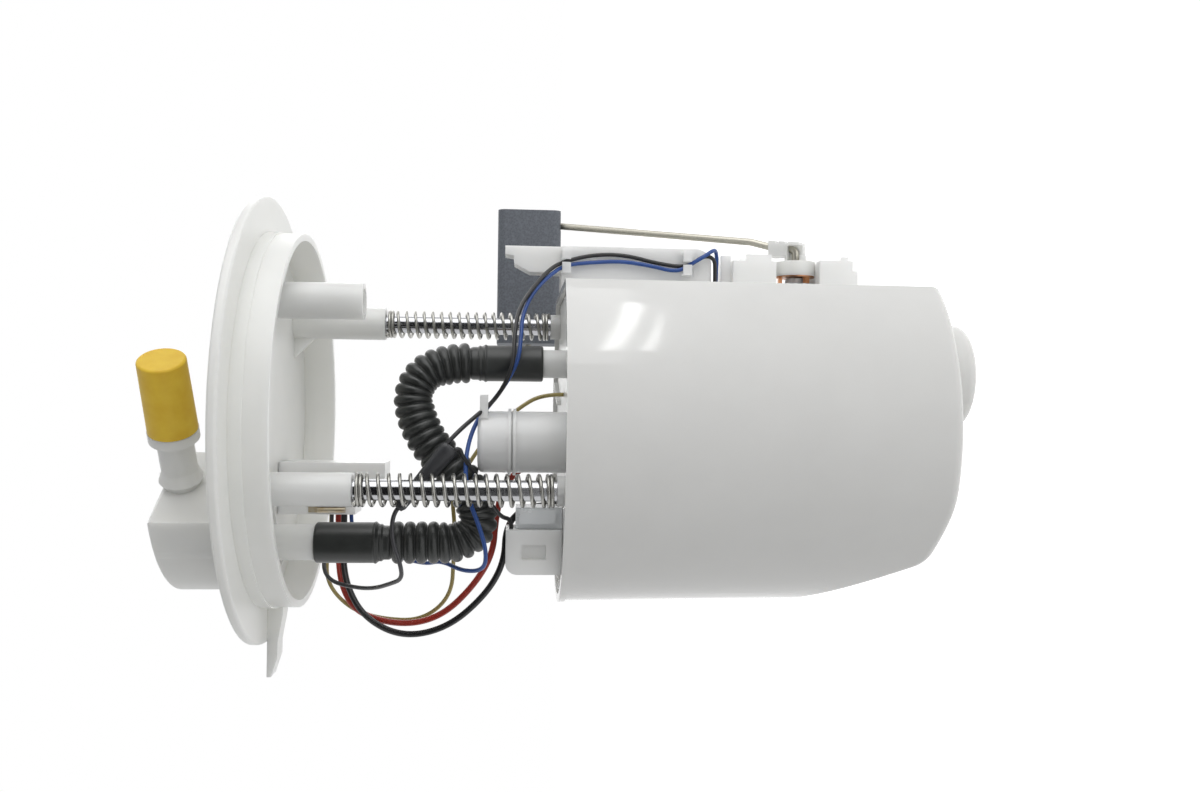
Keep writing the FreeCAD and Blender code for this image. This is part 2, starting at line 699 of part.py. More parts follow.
def make_regulator_cap():
    """Upper half of the regulator housing: a round cap with a hook for the wires."""
    x, y = REGULATOR_AXIS
    outside = post(x, y, REGULATOR_SPLIT, REGULATOR_TOP, REGULATOR_RADIUS)
    outside = round_edges(outside, 1.6, level(REGULATOR_TOP))
    ring_low = REGULATOR_SPLIT + REGULATOR_GROOVE
    band = post(x, y, ring_low, ring_low + REGULATOR_RING, REGULATOR_RADIUS + REGULATOR_BAND)
    inner = REGULATOR_RADIUS - REGULATOR_WALL
    hollow = post(x, y, REGULATOR_SPLIT, REGULATOR_TOP - REGULATOR_WALL, inner)
    cap = outside.fuse([band, block(*HOOK_BAR), block(*HOOK_LIP)])
    return cap.cut(hollow).removeSplitter()


def make_regulator():
    """Stepped steel can of the pressure regulator, with its outlet hole."""
    x, y = REGULATOR_AXIS
    seat = REGULATOR_SHELF[1] + PART_GAP
    can = post(x, y, seat, seat + 13.0, 6.4)
    rim = post(x, y, seat, seat + 1.6, 7.2)
    spout = post(x, y, seat - 6.0, seat, 3.4)
    return can.fuse([rim, spout]).cut(post(x, y, seat - 6.0, seat + 11.5, 1.4)).removeSplitter()


def make_regulator_seal():
    """O-ring around the regulator's spout."""
    x, y = REGULATOR_AXIS
    mean = 3.4 + 0.9 + PRESS_CLEARANCE
    return Part.makeTorus(mean, 0.9, V(x, y, REGULATOR_SHELF[1] - 1.0))


def make_pump_plug():
    """Plug of the pump's leads: a block with a rounded corner, a pocket and a wire face."""
    z = (HOLDER_TOP + 1.0 + PART_GAP, PUMP_PLUG_TOP)
    body = block(PUMP_PLUG_X, PUMP_PLUG_Y, z)
    corner = [
        e
        for e in body.Edges
        if abs(e.BoundBox.XMin - PUMP_PLUG_X[0]) < 0.01 and abs(e.BoundBox.XMax - PUMP_PLUG_X[0]) < 0.01
        and abs(e.BoundBox.ZMin - PUMP_PLUG_TOP) < 0.01 and abs(e.BoundBox.ZMax - PUMP_PLUG_TOP) < 0.01
    ]
    body = body.makeFillet(3.5, corner)
    middle_x = sum(PUMP_PLUG_X) / 2
    middle_z = sum(z) / 2
    near = PUMP_PLUG_Y[0]
    pocket = block((middle_x - 2.2, middle_x + 2.2), (near, near + 2.0), (middle_z - 3.6, middle_z + 3.6))
    return body.cut(pocket)


def make_plug_lock():
    """Sliding lock on top of the pump plug, with a thumb bar."""
    low = HOLDER_TOP + 1.0 + PART_GAP
    base = block(LOCK_X, LOCK_Y, (low, LOCK_TOP))
    bar = block((LOCK_X[0] + 1.6, LOCK_X[1] - 0.6), (LOCK_Y[0] - 1.6, LOCK_Y[0]), (low + 2.0, LOCK_TOP - 1.0))
    return base.fuse(bar).removeSplitter()


axis_x, axis_y = PUMP_AXIS
case_inner = PUMP_RADIUS - PUMP_CASE_WALL
core_inner = FILTER_CORE_RADIUS


def make_filter_case():
    """Ring-shaped filter case, with a lip that carries the pump's cushion."""
    outer = tube(axis_x, axis_y, FILTER_BOTTOM, FILTER_TOP, FILTER_RADIUS, FILTER_RADIUS - FILTER_WALL)
    core = tube(axis_x, axis_y, FILTER_BOTTOM, FILTER_TOP, core_inner + FILTER_WALL, core_inner)
    floor = tube(axis_x, axis_y, FILTER_BOTTOM - FILTER_WALL, FILTER_BOTTOM, FILTER_RADIUS, core_inner - 6.0)
    return outer.fuse([core, floor]).removeSplitter()


def make_filter_lid():
    """Lid that closes the ring between the filter case's walls."""
    low = FILTER_TOP + PRESS_CLEARANCE
    high = HOLDER_TOP - HOLDER_THICKNESS - PART_GAP
    return tube(axis_x, axis_y, low, high, FILTER_RADIUS, core_inner)


def make_filter_element():
    """Pleated paper ring."""
    outer = FILTER_RADIUS - FILTER_WALL - 0.6
    valley = outer - 3.0
    inner = core_inner + FILTER_WALL + 0.8
    points = []
    for i in range(2 * FILTER_PLEATS):
        radius = outer if i % 2 == 0 else valley
        turn = math.pi * i / FILTER_PLEATS
        points.append((axis_x + radius * math.cos(turn), axis_y + radius * math.sin(turn)))
    z = (FILTER_BOTTOM + 0.3, FILTER_TOP - 0.6)
    return plate_from_xy(points, z).cut(post(axis_x, axis_y, z[0], z[1], inner))


def make_pump_case():
    return tube(axis_x, axis_y, PUMP_BOTTOM, PUMP_TOP, PUMP_RADIUS, case_inner)


def brush_box(side, clearance):
    """Space of one carbon brush, on the side -1 or +1 of the commutator."""
    start = COMMUTATOR_RADIUS + RUNNING_CLEARANCE
    near, far = axis_x + side * start, axis_x + side * (start + 6.0 + clearance)
    half = 2.0 + clearance
    middle = sum(COMMUTATOR_Z) / 2
    return block((min(near, far), max(near, far)), (axis_y - half, axis_y + half), (middle - half, middle + half))


def make_pump_head():
    """Plastic head of the pump: brush holders, valve chamber and outlet nipple."""
    plug_radius = case_inner - PRESS_CLEARANCE
    head = post(axis_x, axis_y, PUMP_TOP - 8.0, PUMP_TOP, plug_radius)
    cap = post(axis_x, axis_y, PUMP_TOP, PUMP_TOP + 1.6, PUMP_RADIUS)
    nipple = post(axis_x, axis_y, PUMP_TOP, HOLDER_TOP - HOLDER_THICKNESS - 0.6, PUMP_NIPPLE_RADIUS)
    low = COMMUTATOR_Z[0] - 1.0
    cage = tube(axis_x, axis_y, low, PUMP_TOP - 8.0, plug_radius - 2.0, COMMUTATOR_RADIUS + 0.6)
    cage = cage.common(block((axis_x - 15, axis_x + 15), (axis_y - 4, axis_y + 4), (low, PUMP_TOP)))
    head = head.fuse([cap, nipple, cage])
    for side in (-1, 1):
        head = head.cut(brush_box(side, RUNNING_CLEARANCE))
    head = head.cut(post(axis_x, axis_y, VALVE_SEAT_Z, PUMP_TOP + 9.0, VALVE_CHAMBER_RADIUS))
    head = head.cut(post(axis_x, axis_y, VALVE_SEAT_Z - 2.0, VALVE_SEAT_Z, VALVE_HOLE_RADIUS))
    head = head.cut(post(axis_x, axis_y, PUMP_TOP, FILTER_TOP + 6.0, 1.3))
    port = Part.makeCylinder(1.2, plug_radius, V(axis_x, axis_y, VALVE_SEAT_Z - 1.6), V(0, 1, 0))
    drop = post(axis_x, axis_y + plug_radius - 3.0, PUMP_TOP - 8.0, VALVE_SEAT_Z - 1.0, 1.2)
    head = head.cut([port, drop])
    bearing = post(axis_x, axis_y, PUMP_TOP - 8.0, PUMP_TOP - 5.0, SHAFT_RADIUS + RUNNING_CLEARANCE)
    return head.cut(bearing).removeSplitter()


impeller_gap = 0.1


def make_chamber_plate():
    """Plate between the motor and the impeller, with the lower bearing."""
    low = IMPELLER_Z[1] + impeller_gap
    radius = case_inner - PRESS_CLEARANCE
    plate = post(axis_x, axis_y, low, low + CHAMBER_PLATE, radius)
    plate = plate.cut(post(axis_x, axis_y, low, low + CHAMBER_PLATE, SHAFT_RADIUS + RUNNING_CLEARANCE))
    return plate.cut(post(axis_x, axis_y + 11.5, low, low + CHAMBER_PLATE, 1.8))


def make_inlet_cover():
    """Bottom cover of the pump, with the impeller's recess and the inlet spout."""
    radius = case_inner - PRESS_CLEARANCE
    top = IMPELLER_Z[1] + impeller_gap - PRESS_CLEARANCE
    cover = post(axis_x, axis_y, PUMP_BOTTOM, top, radius)
    recess = post(axis_x, axis_y, IMPELLER_Z[0] - impeller_gap, top, IMPELLER_RADIUS + impeller_gap)
    spout = post(axis_x, axis_y - 10.0, PUMP_BOTTOM - 9.0, PUMP_BOTTOM, 4.0)
    cover = cover.cut(recess).fuse(spout)
    return cover.cut(post(axis_x, axis_y - 10.0, PUMP_BOTTOM - 9.0, top, 2.6)).removeSplitter()


def make_magnets():
    """Two curved magnets in the pump case."""
    outer = case_inner - PRESS_CLEARANCE
    z = (ARMATURE_Z[0] - 3.0, ARMATURE_Z[1] + 3.0)
    ring = tube(axis_x, axis_y, z[0], z[1], outer, MAGNET_INNER)
    gap = block((axis_x - PUMP_RADIUS, axis_x + PUMP_RADIUS), (axis_y - 4.5, axis_y + 4.5), z)
    return Part.Compound(ring.cut(gap).Solids)


def make_brushes():
    return Part.Compound([brush_box(side, 0) for side in (-1, 1)])


def make_armature():
    """Slotted iron core with its windings standing out at both ends."""
    core = post(axis_x, axis_y, ARMATURE_Z[0], ARMATURE_Z[1], ARMATURE_RADIUS)
    for i in range(8):
        slot = block((ARMATURE_RADIUS - 6.0, ARMATURE_RADIUS), (-0.9, 0.9), ARMATURE_Z)
        slot.rotate(V(0, 0, 0), V(0, 0, 1), 45 * i)
        slot.translate(V(axis_x, axis_y, 0))
        core = core.cut(slot)
    low = post(axis_x, axis_y, ARMATURE_Z[0] - 4.0, ARMATURE_Z[0], ARMATURE_RADIUS - 2.2)
    high = post(axis_x, axis_y, ARMATURE_Z[1], ARMATURE_Z[1] + 2.0, ARMATURE_RADIUS - 2.2)
    bore = post(axis_x, axis_y, ARMATURE_Z[0] - 4.0, ARMATURE_Z[1] + 2.0, SHAFT_RADIUS + PRESS_CLEARANCE)
    return core.fuse([low, high]).cut(bore).removeSplitter()


def make_shaft():
    return post(axis_x, axis_y, IMPELLER_Z[0] + 0.2, PUMP_TOP - 5.2, SHAFT_RADIUS)


def make_commutator():
    """Copper commutator with its bars cut apart by grooves."""
    low, high = COMMUTATOR_Z
    body = tube(axis_x, axis_y, low, high, COMMUTATOR_RADIUS, SHAFT_RADIUS + PRESS_CLEARANCE)
    for i in range(8):
        groove = block((COMMUTATOR_RADIUS - 1.0, COMMUTATOR_RADIUS), (-0.25, 0.25), (low, high))
        groove.rotate(V(0, 0, 0), V(0, 0, 1), 45 * i)
        groove.translate(V(axis_x, axis_y, 0))
        body = body.cut(groove)
    return body


def make_impeller():
    """Impeller disc with vane pockets around its edge."""
    low, high = IMPELLER_Z
    disc = tube(axis_x, axis_y, low, high, IMPELLER_RADIUS, SHAFT_RADIUS + PRESS_CLEARANCE)
    for i in range(24):
        pocket = block((IMPELLER_RADIUS - 3.2, IMPELLER_RADIUS - 0.8), (-0.7, 0.7), (low, high))
        pocket.rotate(V(0, 0, 0), V(0, 0, 1), 15 * i)
        pocket.translate(V(axis_x, axis_y, 0))
        disc = disc.cut(pocket)
    return disc


def make_check_valve():
    """Poppet of the outlet check valve, closed on its seat."""
    low = VALVE_SEAT_Z + 0.05
    disc = post(axis_x, axis_y, low, low + 1.4, VALVE_RADIUS)
    stem = post(axis_x, axis_y, low, low + 6.6, VALVE_STEM_RADIUS)
    return disc.fuse(stem).removeSplitter()


def make_check_spring():
    low = VALVE_SEAT_Z + 1.5
    return coil(axis_x, axis_y, low, PUMP_TOP + 8.9, 1.9, 0.25, 1.3)


def make_cushion():
    """Rubber ring that carries the pump on the filter case's lip."""
    low = FILTER_BOTTOM + PART_GAP
    return tube(axis_x, axis_y, low, PUMP_BOTTOM - PART_GAP, core_inner - PART_GAP, core_inner - 5.0)


def make_strainer_frame():
    """Collar that the inlet spout enters, on a flat oval frame."""
    spout_y = axis_y - 10.0
    spout_low = PUMP_BOTTOM - 9.0
    collar_top = FILTER_BOTTOM - FILTER_WALL - PART_GAP
    collar = post(axis_x, spout_y, STRAINER_Z[1], collar_top, 6.0)
    deck = block((axis_x - 16, axis_x + 16), (-14.0, 4.0), (STRAINER_Z[1], STRAINER_Z[1] + 1.6))
    frame = collar.fuse(deck)
    frame = frame.cut(post(axis_x, spout_y, spout_low - PART_GAP, collar_top, 4.0 + PRESS_CLEARANCE))
    return frame.cut(post(axis_x, spout_y, STRAINER_Z[1], collar_top, 2.6)).removeSplitter()


def make_strainer():
    """Flat filter sock under the pump: an oval pillow."""
    half = STRAINER_HALF_WIDTH
    low, high = STRAINER_Z[0], STRAINER_Z[1] - PART_GAP
    ends = [post(x, -4.0, low, high, half) for x in (STRAINER_X[0] + half, STRAINER_X[1] - half)]
    middle = block((STRAINER_X[0] + half, STRAINER_X[1] - half), (-4.0 - half, -4.0 + half), (low, high))
    pillow = ends[0].fuse([ends[1], middle]).removeSplitter()
    return pillow.makeFillet(4.5, [e for e in pillow.Edges if e.BoundBox.ZLength < 0.01])


def make_return_tube():
    """Tube that feeds the jet pump from the holder."""
    x, y = JET_AXIS
    top = HOLDER_TOP - HOLDER_THICKNESS - PART_GAP
    return tube(x, y, JET_TOP + PART_GAP, top, RETURN_TUBE_RADIUS, RETURN_TUBE_RADIUS - 1.0)


def make_jet_pump():
    """Jet pump on the reservoir's floor: a drum with a nozzle hole and a side throat."""
    x, y = JET_AXIS
    floor = CUP_BOTTOM + CUP_WALL
    drum = post(x, y, floor + PART_GAP, JET_TOP, JET_RADIUS)
    throat = Part.makeCylinder(3.0, 20.0, V(x, y, floor + 6.0), V(1, -0.25, 0))
    body = drum.fuse(throat)
    body = body.cut(Part.makeCylinder(1.9, 21.0, V(x, y, floor + 6.0), V(1, -0.25, 0)))
    return body.cut(post(x, y, floor + 6.0, JET_TOP, 1.2)).removeSplitter()


def make_foot_valve():
    """Rubber umbrella valve that covers the foot's inlet holes."""
    x, y = FOOT_CENTRE
    floor = CUP_BOTTOM - FOOT_HEIGHT + CUP_WALL
    umbrella = post(x, y, floor + 0.1, floor + 1.3, FOOT_VALVE_RADIUS)
    stem = post(x, y, floor - CUP_WALL + 0.2, floor + 2.4, 1.5 - PRESS_CLEARANCE)
    return umbrella.fuse(stem).removeSplitter()


rail_base = CUP_FLAT + PART_GAP
rail_top = CUP_FLAT + RAIL_HEIGHT


def make_rail():
    """Sender rail on the flat side: a hollow channel, a hook plate above it and two wire clips."""
    low, high = RAIL_Z
    channel = block((rail_base, rail_top), RAIL_Y, RAIL_Z)
    end_edge = [
        e
        for e in channel.Edges
        if abs(e.BoundBox.XMin - rail_top) < 0.01 and abs(e.BoundBox.ZMax - low) < 0.01
    ]
    channel = channel.makeFillet(RAIL_END_ROUND, end_edge)
    hollow = block(
        (rail_base, rail_top - RAIL_WALL),
        (RAIL_Y[0] + RAIL_WALL, RAIL_Y[1] - RAIL_WALL),
        (low + RAIL_END_ROUND, high),
    )
    hook = plate_from_xz(
        [
            (rail_top, high - 4.0),
            (rail_top, high + 18.2),
            (rail_top - 2.8, high + 18.2),
            (rail_top - 3.2, high + 15.4),
            (rail_top - 5.8, high + 15.1),
            (rail_top - 8.4, high + 10.2),
            (rail_top - 8.6, high - 4.0),
        ],
        HOOK_Y,
    )
    rail = channel.cut(hollow).fuse(hook)
    for z in WIRE_CLIPS_Z:
        rail = rail.fuse(wire_clip(z))
    return rail.removeSplitter()


def wire_clip(z):
    """Hook on the rail's near wall that holds the two sender wires."""
    x = rail_top - 5.2
    near = RAIL_Y[0] - 4.6
    outside = block((x - 3.9, x + 3.9), (near, RAIL_Y[0]), (z - 1.4, z + 1.4))
    inside = block((x - 3.0, x + 3.0), (near + 1.0, RAIL_Y[0]), (z - 1.4, z + 1.4))
    mouth = block((x - 0.5, x + 0.5), (near, near + 1.0), (z - 1.4, z + 1.4))
    return outside.cut([inside, mouth])


base_top = CUP_FLAT + PART_GAP + SENDER_BASE
pivot_y, pivot_z = PIVOT


def along_x(x_low, x_high, radius, y=pivot_y, z=pivot_z):
    """Round piece along X, on the sender's pivot unless another place is given."""
    return Part.makeCylinder(radius, x_high - x_low, V(x_low, y, z), V(1, 0, 0))


def make_sender_body():
    """Sender frame: base plate, two side blocks, a foot and the pivot's bearing."""
    low, high = SENDER_Z
    start = CUP_FLAT + PART_GAP
    wall = SENDER_WALL_Y
    bearing_top = base_top + BEARING_HEIGHT
    boss_radius = PIVOT_PIN_RADIUS + 1.4
    pieces = [
        block((base_top, END_BLOCK_TOP), (wall[0] + 4.0, wall[1] - 4.0), (UPPER_BLOCK_Z[1], high)),
        block((base_top, UPPER_BLOCK_TOP), wall, UPPER_BLOCK_Z),
        block((UPPER_BLOCK_TOP, NUB_TOP), (wall[0] + 3.0, wall[1] - 3.0), UPPER_PLATE_Z),
        block((base_top, LOWER_BLOCK_TOP), wall, LOWER_BLOCK_Z),
        block((LOWER_BLOCK_TOP, NUB_TOP), (wall[0] + 5.0, wall[1] - 5.0), LOWER_NUB_Z),
        block((base_top, END_FOOT_TOP), (wall[0] + 3.0, wall[1] - 3.0), (low, LOWER_BLOCK_Z[0])),
    ]
    body = block((start, base_top), SENDER_Y, SENDER_Z).fuse(pieces)
    body = body.cut(along_x(base_top, CLIP_BASE, SENDER_CAVITY_RADIUS))
    body = body.fuse(along_x(base_top, bearing_top, boss_radius))
    return body.cut(along_x(start, bearing_top, PIVOT_PIN_RADIUS + RUNNING_CLEARANCE)).removeSplitter()


def make_resistor_card():
    """Thin ring-shaped card with the resistor tracks, around the pivot's bearing."""
    low = base_top + PRESS_CLEARANCE
    ring = along_x(low, low + CARD_THICKNESS, SENDER_CAVITY_RADIUS - 0.4)
    return ring.cut(along_x(low, low + CARD_THICKNESS, PIVOT_PIN_RADIUS + 1.6))


def make_sender_contacts():
    """Copper tags on the base plate where the two sender wires are crimped."""
    tags = []
    for y in CONTACT_Y:
        tags.append(block((CONTACT_X - 0.5, CONTACT_X), (y - 1.1, y + 1.1), (SENDER_Z[1], SENDER_Z[1] + 3.2)))
    return Part.Compound(tags)


def arm_direction():
    turn = math.radians(ARM_ANGLE)
    return V(0, math.sin(turn), math.cos(turn))


def on_arm(shape):
    """Turns a shape drawn along Z from the origin onto the arm, about the pivot."""
    shape.rotate(V(0, 0, 0), V(1, 0, 0), -ARM_ANGLE)
    shape.translate(V(0, pivot_y, pivot_z))
    return shape


def make_arm_hub():
    """Pivot disc with its pin and the clip block that grips the arm wire."""
    disc = along_x(DISC_X[0], DISC_X[1], DISC_RADIUS)
    pin = along_x(base_top - SENDER_BASE + 0.4, DISC_X[0], PIVOT_PIN_RADIUS)
    neck = along_x(DISC_X[1], CLIP_BASE, CLIP_HALF_WIDTH + 0.6)
    across = (-CLIP_HALF_WIDTH, CLIP_HALF_WIDTH)
    back, front = CLIP_REACH
    clip = plate_from_xz(
        [(CLIP_BASE, back), (CLIP_TOP[0], back), (CLIP_TOP[1], front), (CLIP_BASE, front)], across
    )
    notches = [block((CLIP_TOP[0], CLIP_TOP[1]), across, (z, z + 1.2)) for z in (1.6, 4.8)]
    window = block((DISC_X[1], CLIP_TOP[0] - 0.9), (-CLIP_HALF_WIDTH - 1, 0.4), (back, 2.0))
    clip = on_arm(clip.cut(notches))
    hub = disc.fuse([pin, neck, clip]).cut(on_arm(window))
    return hub.cut(swept_arm(PRESS_CLEARANCE)).removeSplitter()


def arm_points():
    """Corners of the arm wire, from its end in the hub to its end under the float."""
    aim = arm_direction()
    centre = V(0, pivot_y, pivot_z)
    (hub_at, hub_x), (clip_at, clip_x), (bend_at, bend_x), (far_at, far_x) = ARM_HEIGHTS
    rise = (far_x - bend_x) / (far_at - bend_at)
    end_x = far_x + rise * (ARM_LENGTH - far_at)
    heights = [
        (DISC_X[0] + 1.2, hub_at),
        (hub_x, hub_at),
        (clip_x, clip_at),
        (bend_x, bend_at),
        (end_x, ARM_LENGTH),
        (FLOAT_X[0] - 3.0, ARM_LENGTH),
    ]
    return [V(x, 0, 0) + centre + aim * at for x, at in heights]


def swept_arm(extra):
    """Arm wire with tight bends, grown by a clearance for the holes that it goes through."""
    corners = arm_points()
    bends = (2.0, 8.0, 8.0, 3.0)
    edges = []
    here = corners[0]
    for i, bend in enumerate(bends):
        start, middle, end = corner_arc(corners[i], corners[i + 1], corners[i + 2], bend)
        edges.append(Part.LineSegment(here, start).toShape())
        edges.append(Part.Arc(start, middle, end).toShape())
        here = end
    edges.append(Part.LineSegment(here, corners[-1]).toShape())
    return swept(Part.Wire(edges), corners, ARM_WIRE_RADIUS + extra)


def make_float():
    """Closed-cell float, bored for the arm wire, with a slot where the wire comes in."""
    aim = arm_direction()
    middle = V(0, pivot_y, pivot_z) + aim * ARM_LENGTH
    half = FLOAT_SIDE / 2
    body = block(FLOAT_X, (middle.y - half, middle.y + half), (middle.z - half, middle.z + half))
    body = body.makeFillet(FLOAT_ROUND, [e for e in body.Edges if e.BoundBox.XLength > 1])
    slot_half = ARM_WIRE_RADIUS + 0.5
    slot = block(
        (FLOAT_X[1] - FLOAT_SLOT_DEPTH - slot_half, FLOAT_X[1]), (-slot_half, slot_half), (-FLOAT_SIDE, 0)
    )
    slot.rotate(V(0, 0, 0), V(1, 0, 0), -ARM_ANGLE)
    slot.translate(V(0, middle.y, middle.z))
    bore = along_x(FLOAT_X[0], FLOAT_X[1], ARM_WIRE_RADIUS + FLOAT_BORE_GAP, middle.y, middle.z)
    return body.cut([slot, bore]).removeSplitter()


def make_wiper():
    """Copper wiper under the pivot disc, with three fingers on the resistor card."""
    top = DISC_X[0] - PRESS_CLEARANCE
    low = base_top + CARD_THICKNESS + PRESS_CLEARANCE + 0.08
    plate = along_x(top - WIPER_THICKNESS, top, DISC_RADIUS - 0.2)
    fingers = []
    for turn in (0, 120, 240):
        finger = block((low, top - WIPER_THICKNESS), (-0.9, 0.9), (WIPER_REACH - 0.6, WIPER_REACH + 0.6))
        finger.rotate(V(0, 0, 0), V(1, 0, 0), turn)
        finger.translate(V(0, pivot_y, pivot_z))
        fingers.append(finger)
    wiper = plate.fuse(fingers)
    return wiper.cut(along_x(low, top, PIVOT_PIN_RADIUS + PRESS_CLEARANCE)).removeSplitter()


def make_hose():
    """Hose between the cover's stub and the holder's stub, drawn as a plain thick tube."""
    points = [V(*point) for point in HOSE_ROUTE]
    points[0].z = -STUB_SHOULDER_DEPTH - PRESS_CLEARANCE
    path, radii = cord_path(points)
    outside = swept(path, points, HOSE_OUTER_RADIUS)
    bore = swept(path, points, STUB_RADIUS + RUNNING_CLEARANCE)
    print("fuel_hose length", round(path.Length, 1), "radii", [round(value, 1) for value in radii])
    return outside.cut(bore)


sleeve_aim = V(*SLEEVE_AIM).normalize()
sleeve_top = V(*SLEEVE_TOP)
sleeve_end = sleeve_top + sleeve_aim * SLEEVE_LENGTH
twin_side = sleeve_aim.cross(V(0, 1, 0)).normalize() * TWIN_WIRE_OFFSET


def make_sleeve():
    """Shrink sleeve over the splice of the ground wires, with tapered ends."""
    taper = 3.0
    low = Part.makeCone(SLEEVE_RADIUS * 0.8, SLEEVE_RADIUS, taper, sleeve_top, sleeve_aim)
    middle = Part.makeCylinder(
        SLEEVE_RADIUS, SLEEVE_LENGTH - 2 * taper, sleeve_top + sleeve_aim * taper, sleeve_aim
    )
    high = Part.makeCone(
        SLEEVE_RADIUS, SLEEVE_RADIUS * 0.6, taper, sleeve_end - sleeve_aim * taper, sleeve_aim
    )
    return low.fuse([middle, high]).removeSplitter()


sender_black_end = sleeve_top - twin_side
link_start = sleeve_top + twin_side

contact_face = CONTACT_X + PRESS_CLEARANCE
pump_plug_side = PUMP_PLUG_X[1] + PRESS_CLEARANCE
holder_face = HOLDER_TOP + PRESS_CLEARANCE
plug_face = PLUG_X[0] - PRESS_CLEARANCE

WIRES = {
    "sender_wire_blue": (
        SENDER_WIRE_RADIUS,
        [
            (contact_face, 1.6, -142.2),
            (50.4, 1.6, -142.2),
            (54.4, 1.2, -142.4),
            (56.8, -1.2, -142.4),
            (56.6, -4.4, -140.2),
            (54.6, -5.1, -137.2),
            (52.2, -3.8, -133.4),
            (51.2, -3.5, -128.4),
            (50.7, -3.4, -120.0),
            (51.9, -3.4, -110.6),
            (52.7, -3.4, -101.0),
            (51.3, -3.6, -92.0),
            (47.2, -8.6, -87.0),
            (40.4, -15.0, -83.2),
            (33.0, -20.6, -80.6),
            (25.6, -25.4, -79.2),
            (18.6, -27.8, -77.4),
            (12.2, -27.6, -73.0),
            (7.0, -26.4, -66.6),
            (2.6, -27.2, -63.9),
            (-4.0, -31.0, -63.8),
            (-12.0, -35.2, -63.2),
            (-21.0, -36.8, -63.6),
            (-29.6, -37.0, -66.4),
            (-37.0, -36.2, -69.6),
            (-43.6, -32.8, -69.2),
            (-45.2, -26.6, -61.4),
            (-43.0, -18.6, -54.6),
            (-44.4, -10.6, -49.6),
            (-43.2, -2.4, -40.2),
            (-41.6, 5.4, -31.4),
            (-38.6, 11.6, -25.4),
            (-34.8, 15.0, -23.0),
            (plug_face, 15.0, -23.0),
        ],
    ),
    "sender_wire_black": (
        SENDER_WIRE_RADIUS,
        [
            (contact_face, -2.2, -141.2),
            (49.8, -2.3, -141.2),
            (54.2, -3.0, -140.9),
            (55.0, -3.4, -137.2),
            (53.9, -3.4, -131.4),
            (53.1, -3.4, -122.0),
            (54.1, -3.3, -112.4),
            (54.8, -3.3, -102.8),
            (53.4, -3.6, -92.4),
            (50.2, -7.8, -86.6),
            (43.0, -14.6, -81.8),
            (34.8, -21.2, -78.6),
            (26.6, -26.6, -77.0),
            (19.2, -29.8, -75.4),
            (13.2, -29.6, -71.8),
            (8.2, -27.6, -67.6),
            (2.6, -31.0, -62.4),
            tuple(sender_black_end - sleeve_aim * 4.4),
            tuple(sender_black_end),
        ],
    ),
    "link_wire_black": (
        SENDER_WIRE_RADIUS,
        [
            tuple(link_start),
            tuple(link_start - sleeve_aim * 1.8),
            (-7.4, -36.4, -58.4),
            (-11.0, -35.0, -60.0),
            (-15.6, -33.8, -62.6),
            (-20.8, -34.4, -67.2),
            (-25.2, -33.8, -70.6),
            (-27.8, -29.4, -73.4),
            (-28.6, -26.2, -76.1),
            (pump_plug_side, -26.2, -76.1),
        ],
    ),
    "ground_lead_grey": (
        SENDER_WIRE_RADIUS,
        [
            tuple(sleeve_end),
            tuple(sleeve_end + sleeve_aim * 3.0),
            (-33.7, -37.4, -41.6),
            (-40.6, -36.6, -43.2),
            (-45.8, -33.0, -43.8),
            (-49.2, -27.0, -41.0),
            (-50.6, -19.0, -35.0),
            (-50.8, -10.6, -28.0),
            (-49.2, -2.4, -22.0),
            (-44.8, 5.2, -18.4),
            (-39.2, 10.6, -17.2),
            (-34.6, 11.4, -17.2),
            (plug_face, 11.4, -17.2),
        ],
    ),
    "power_wire_black": (
        POWER_WIRE_RADIUS,
        [
            (plug_face, 11.6, -21.2),
            (-36.2, 11.6, -21.2),
            (-44.4, 9.2, -22.2),
            (-53.4, 4.4, -25.0),
            (-61.4, -1.6, -31.8),
            (-66.0, -8.2, -42.6),
            (-62.6, -11.8, -56.4),
            (-53.6, -12.6, -68.2),
            (-43.4, -12.6, -74.4),
            (-33.0, -12.2, -75.4),
            (-27.2, -11.4, -78.8),
            (-25.6, -10.8, -85.0),
            (-25.6, -10.8, holder_face),
        ],
    ),
    "power_wire_red": (
        POWER_WIRE_RADIUS,
        [
            (plug_face, 16.6, -18.6),
            (-36.4, 16.6, -18.6),
            (-44.6, 13.4, -19.8),
            (-52.8, 8.4, -22.8),
            (-59.6, 3.2, -30.2),
            (-63.0, -4.6, -41.4),
            (-60.4, -8.4, -54.4),
            (-51.6, -9.6, -63.8),
            (-41.0, -10.0, -69.8),
            (-30.4, -9.8, -71.6),
            (-21.0, -9.6, -73.0),
            (-14.8, -9.6, -77.8),
            (-12.2, -9.2, -84.6),
            (-12.2, -9.2, holder_face),
        ],
    ),
    "signal_wire_olive": (
        SENDER_WIRE_RADIUS,
        [
            (plug_face, 20.6, -15.6),
            (-36.8, 20.6, -15.6),
            (-44.8, 17.0, -16.8),
            (-52.2, 11.6, -19.8),
            (-58.0, 7.0, -26.0),
            (-60.8, 3.0, -35.6),
            (-58.8, -0.8, -45.6),
            (-52.2, -4.2, -53.6),
            (-43.2, -6.6, -58.4),
            (-33.0, -7.6, -60.2),
            (-22.6, -7.8, -60.8),
            (-12.2, -7.2, -63.0),
            (-3.0, -5.0, -69.4),
            (4.4, -2.0, -77.6),
            (9.2, 0.6, -85.4),
            (9.2, 0.6, holder_face),
        ],
    ),
}


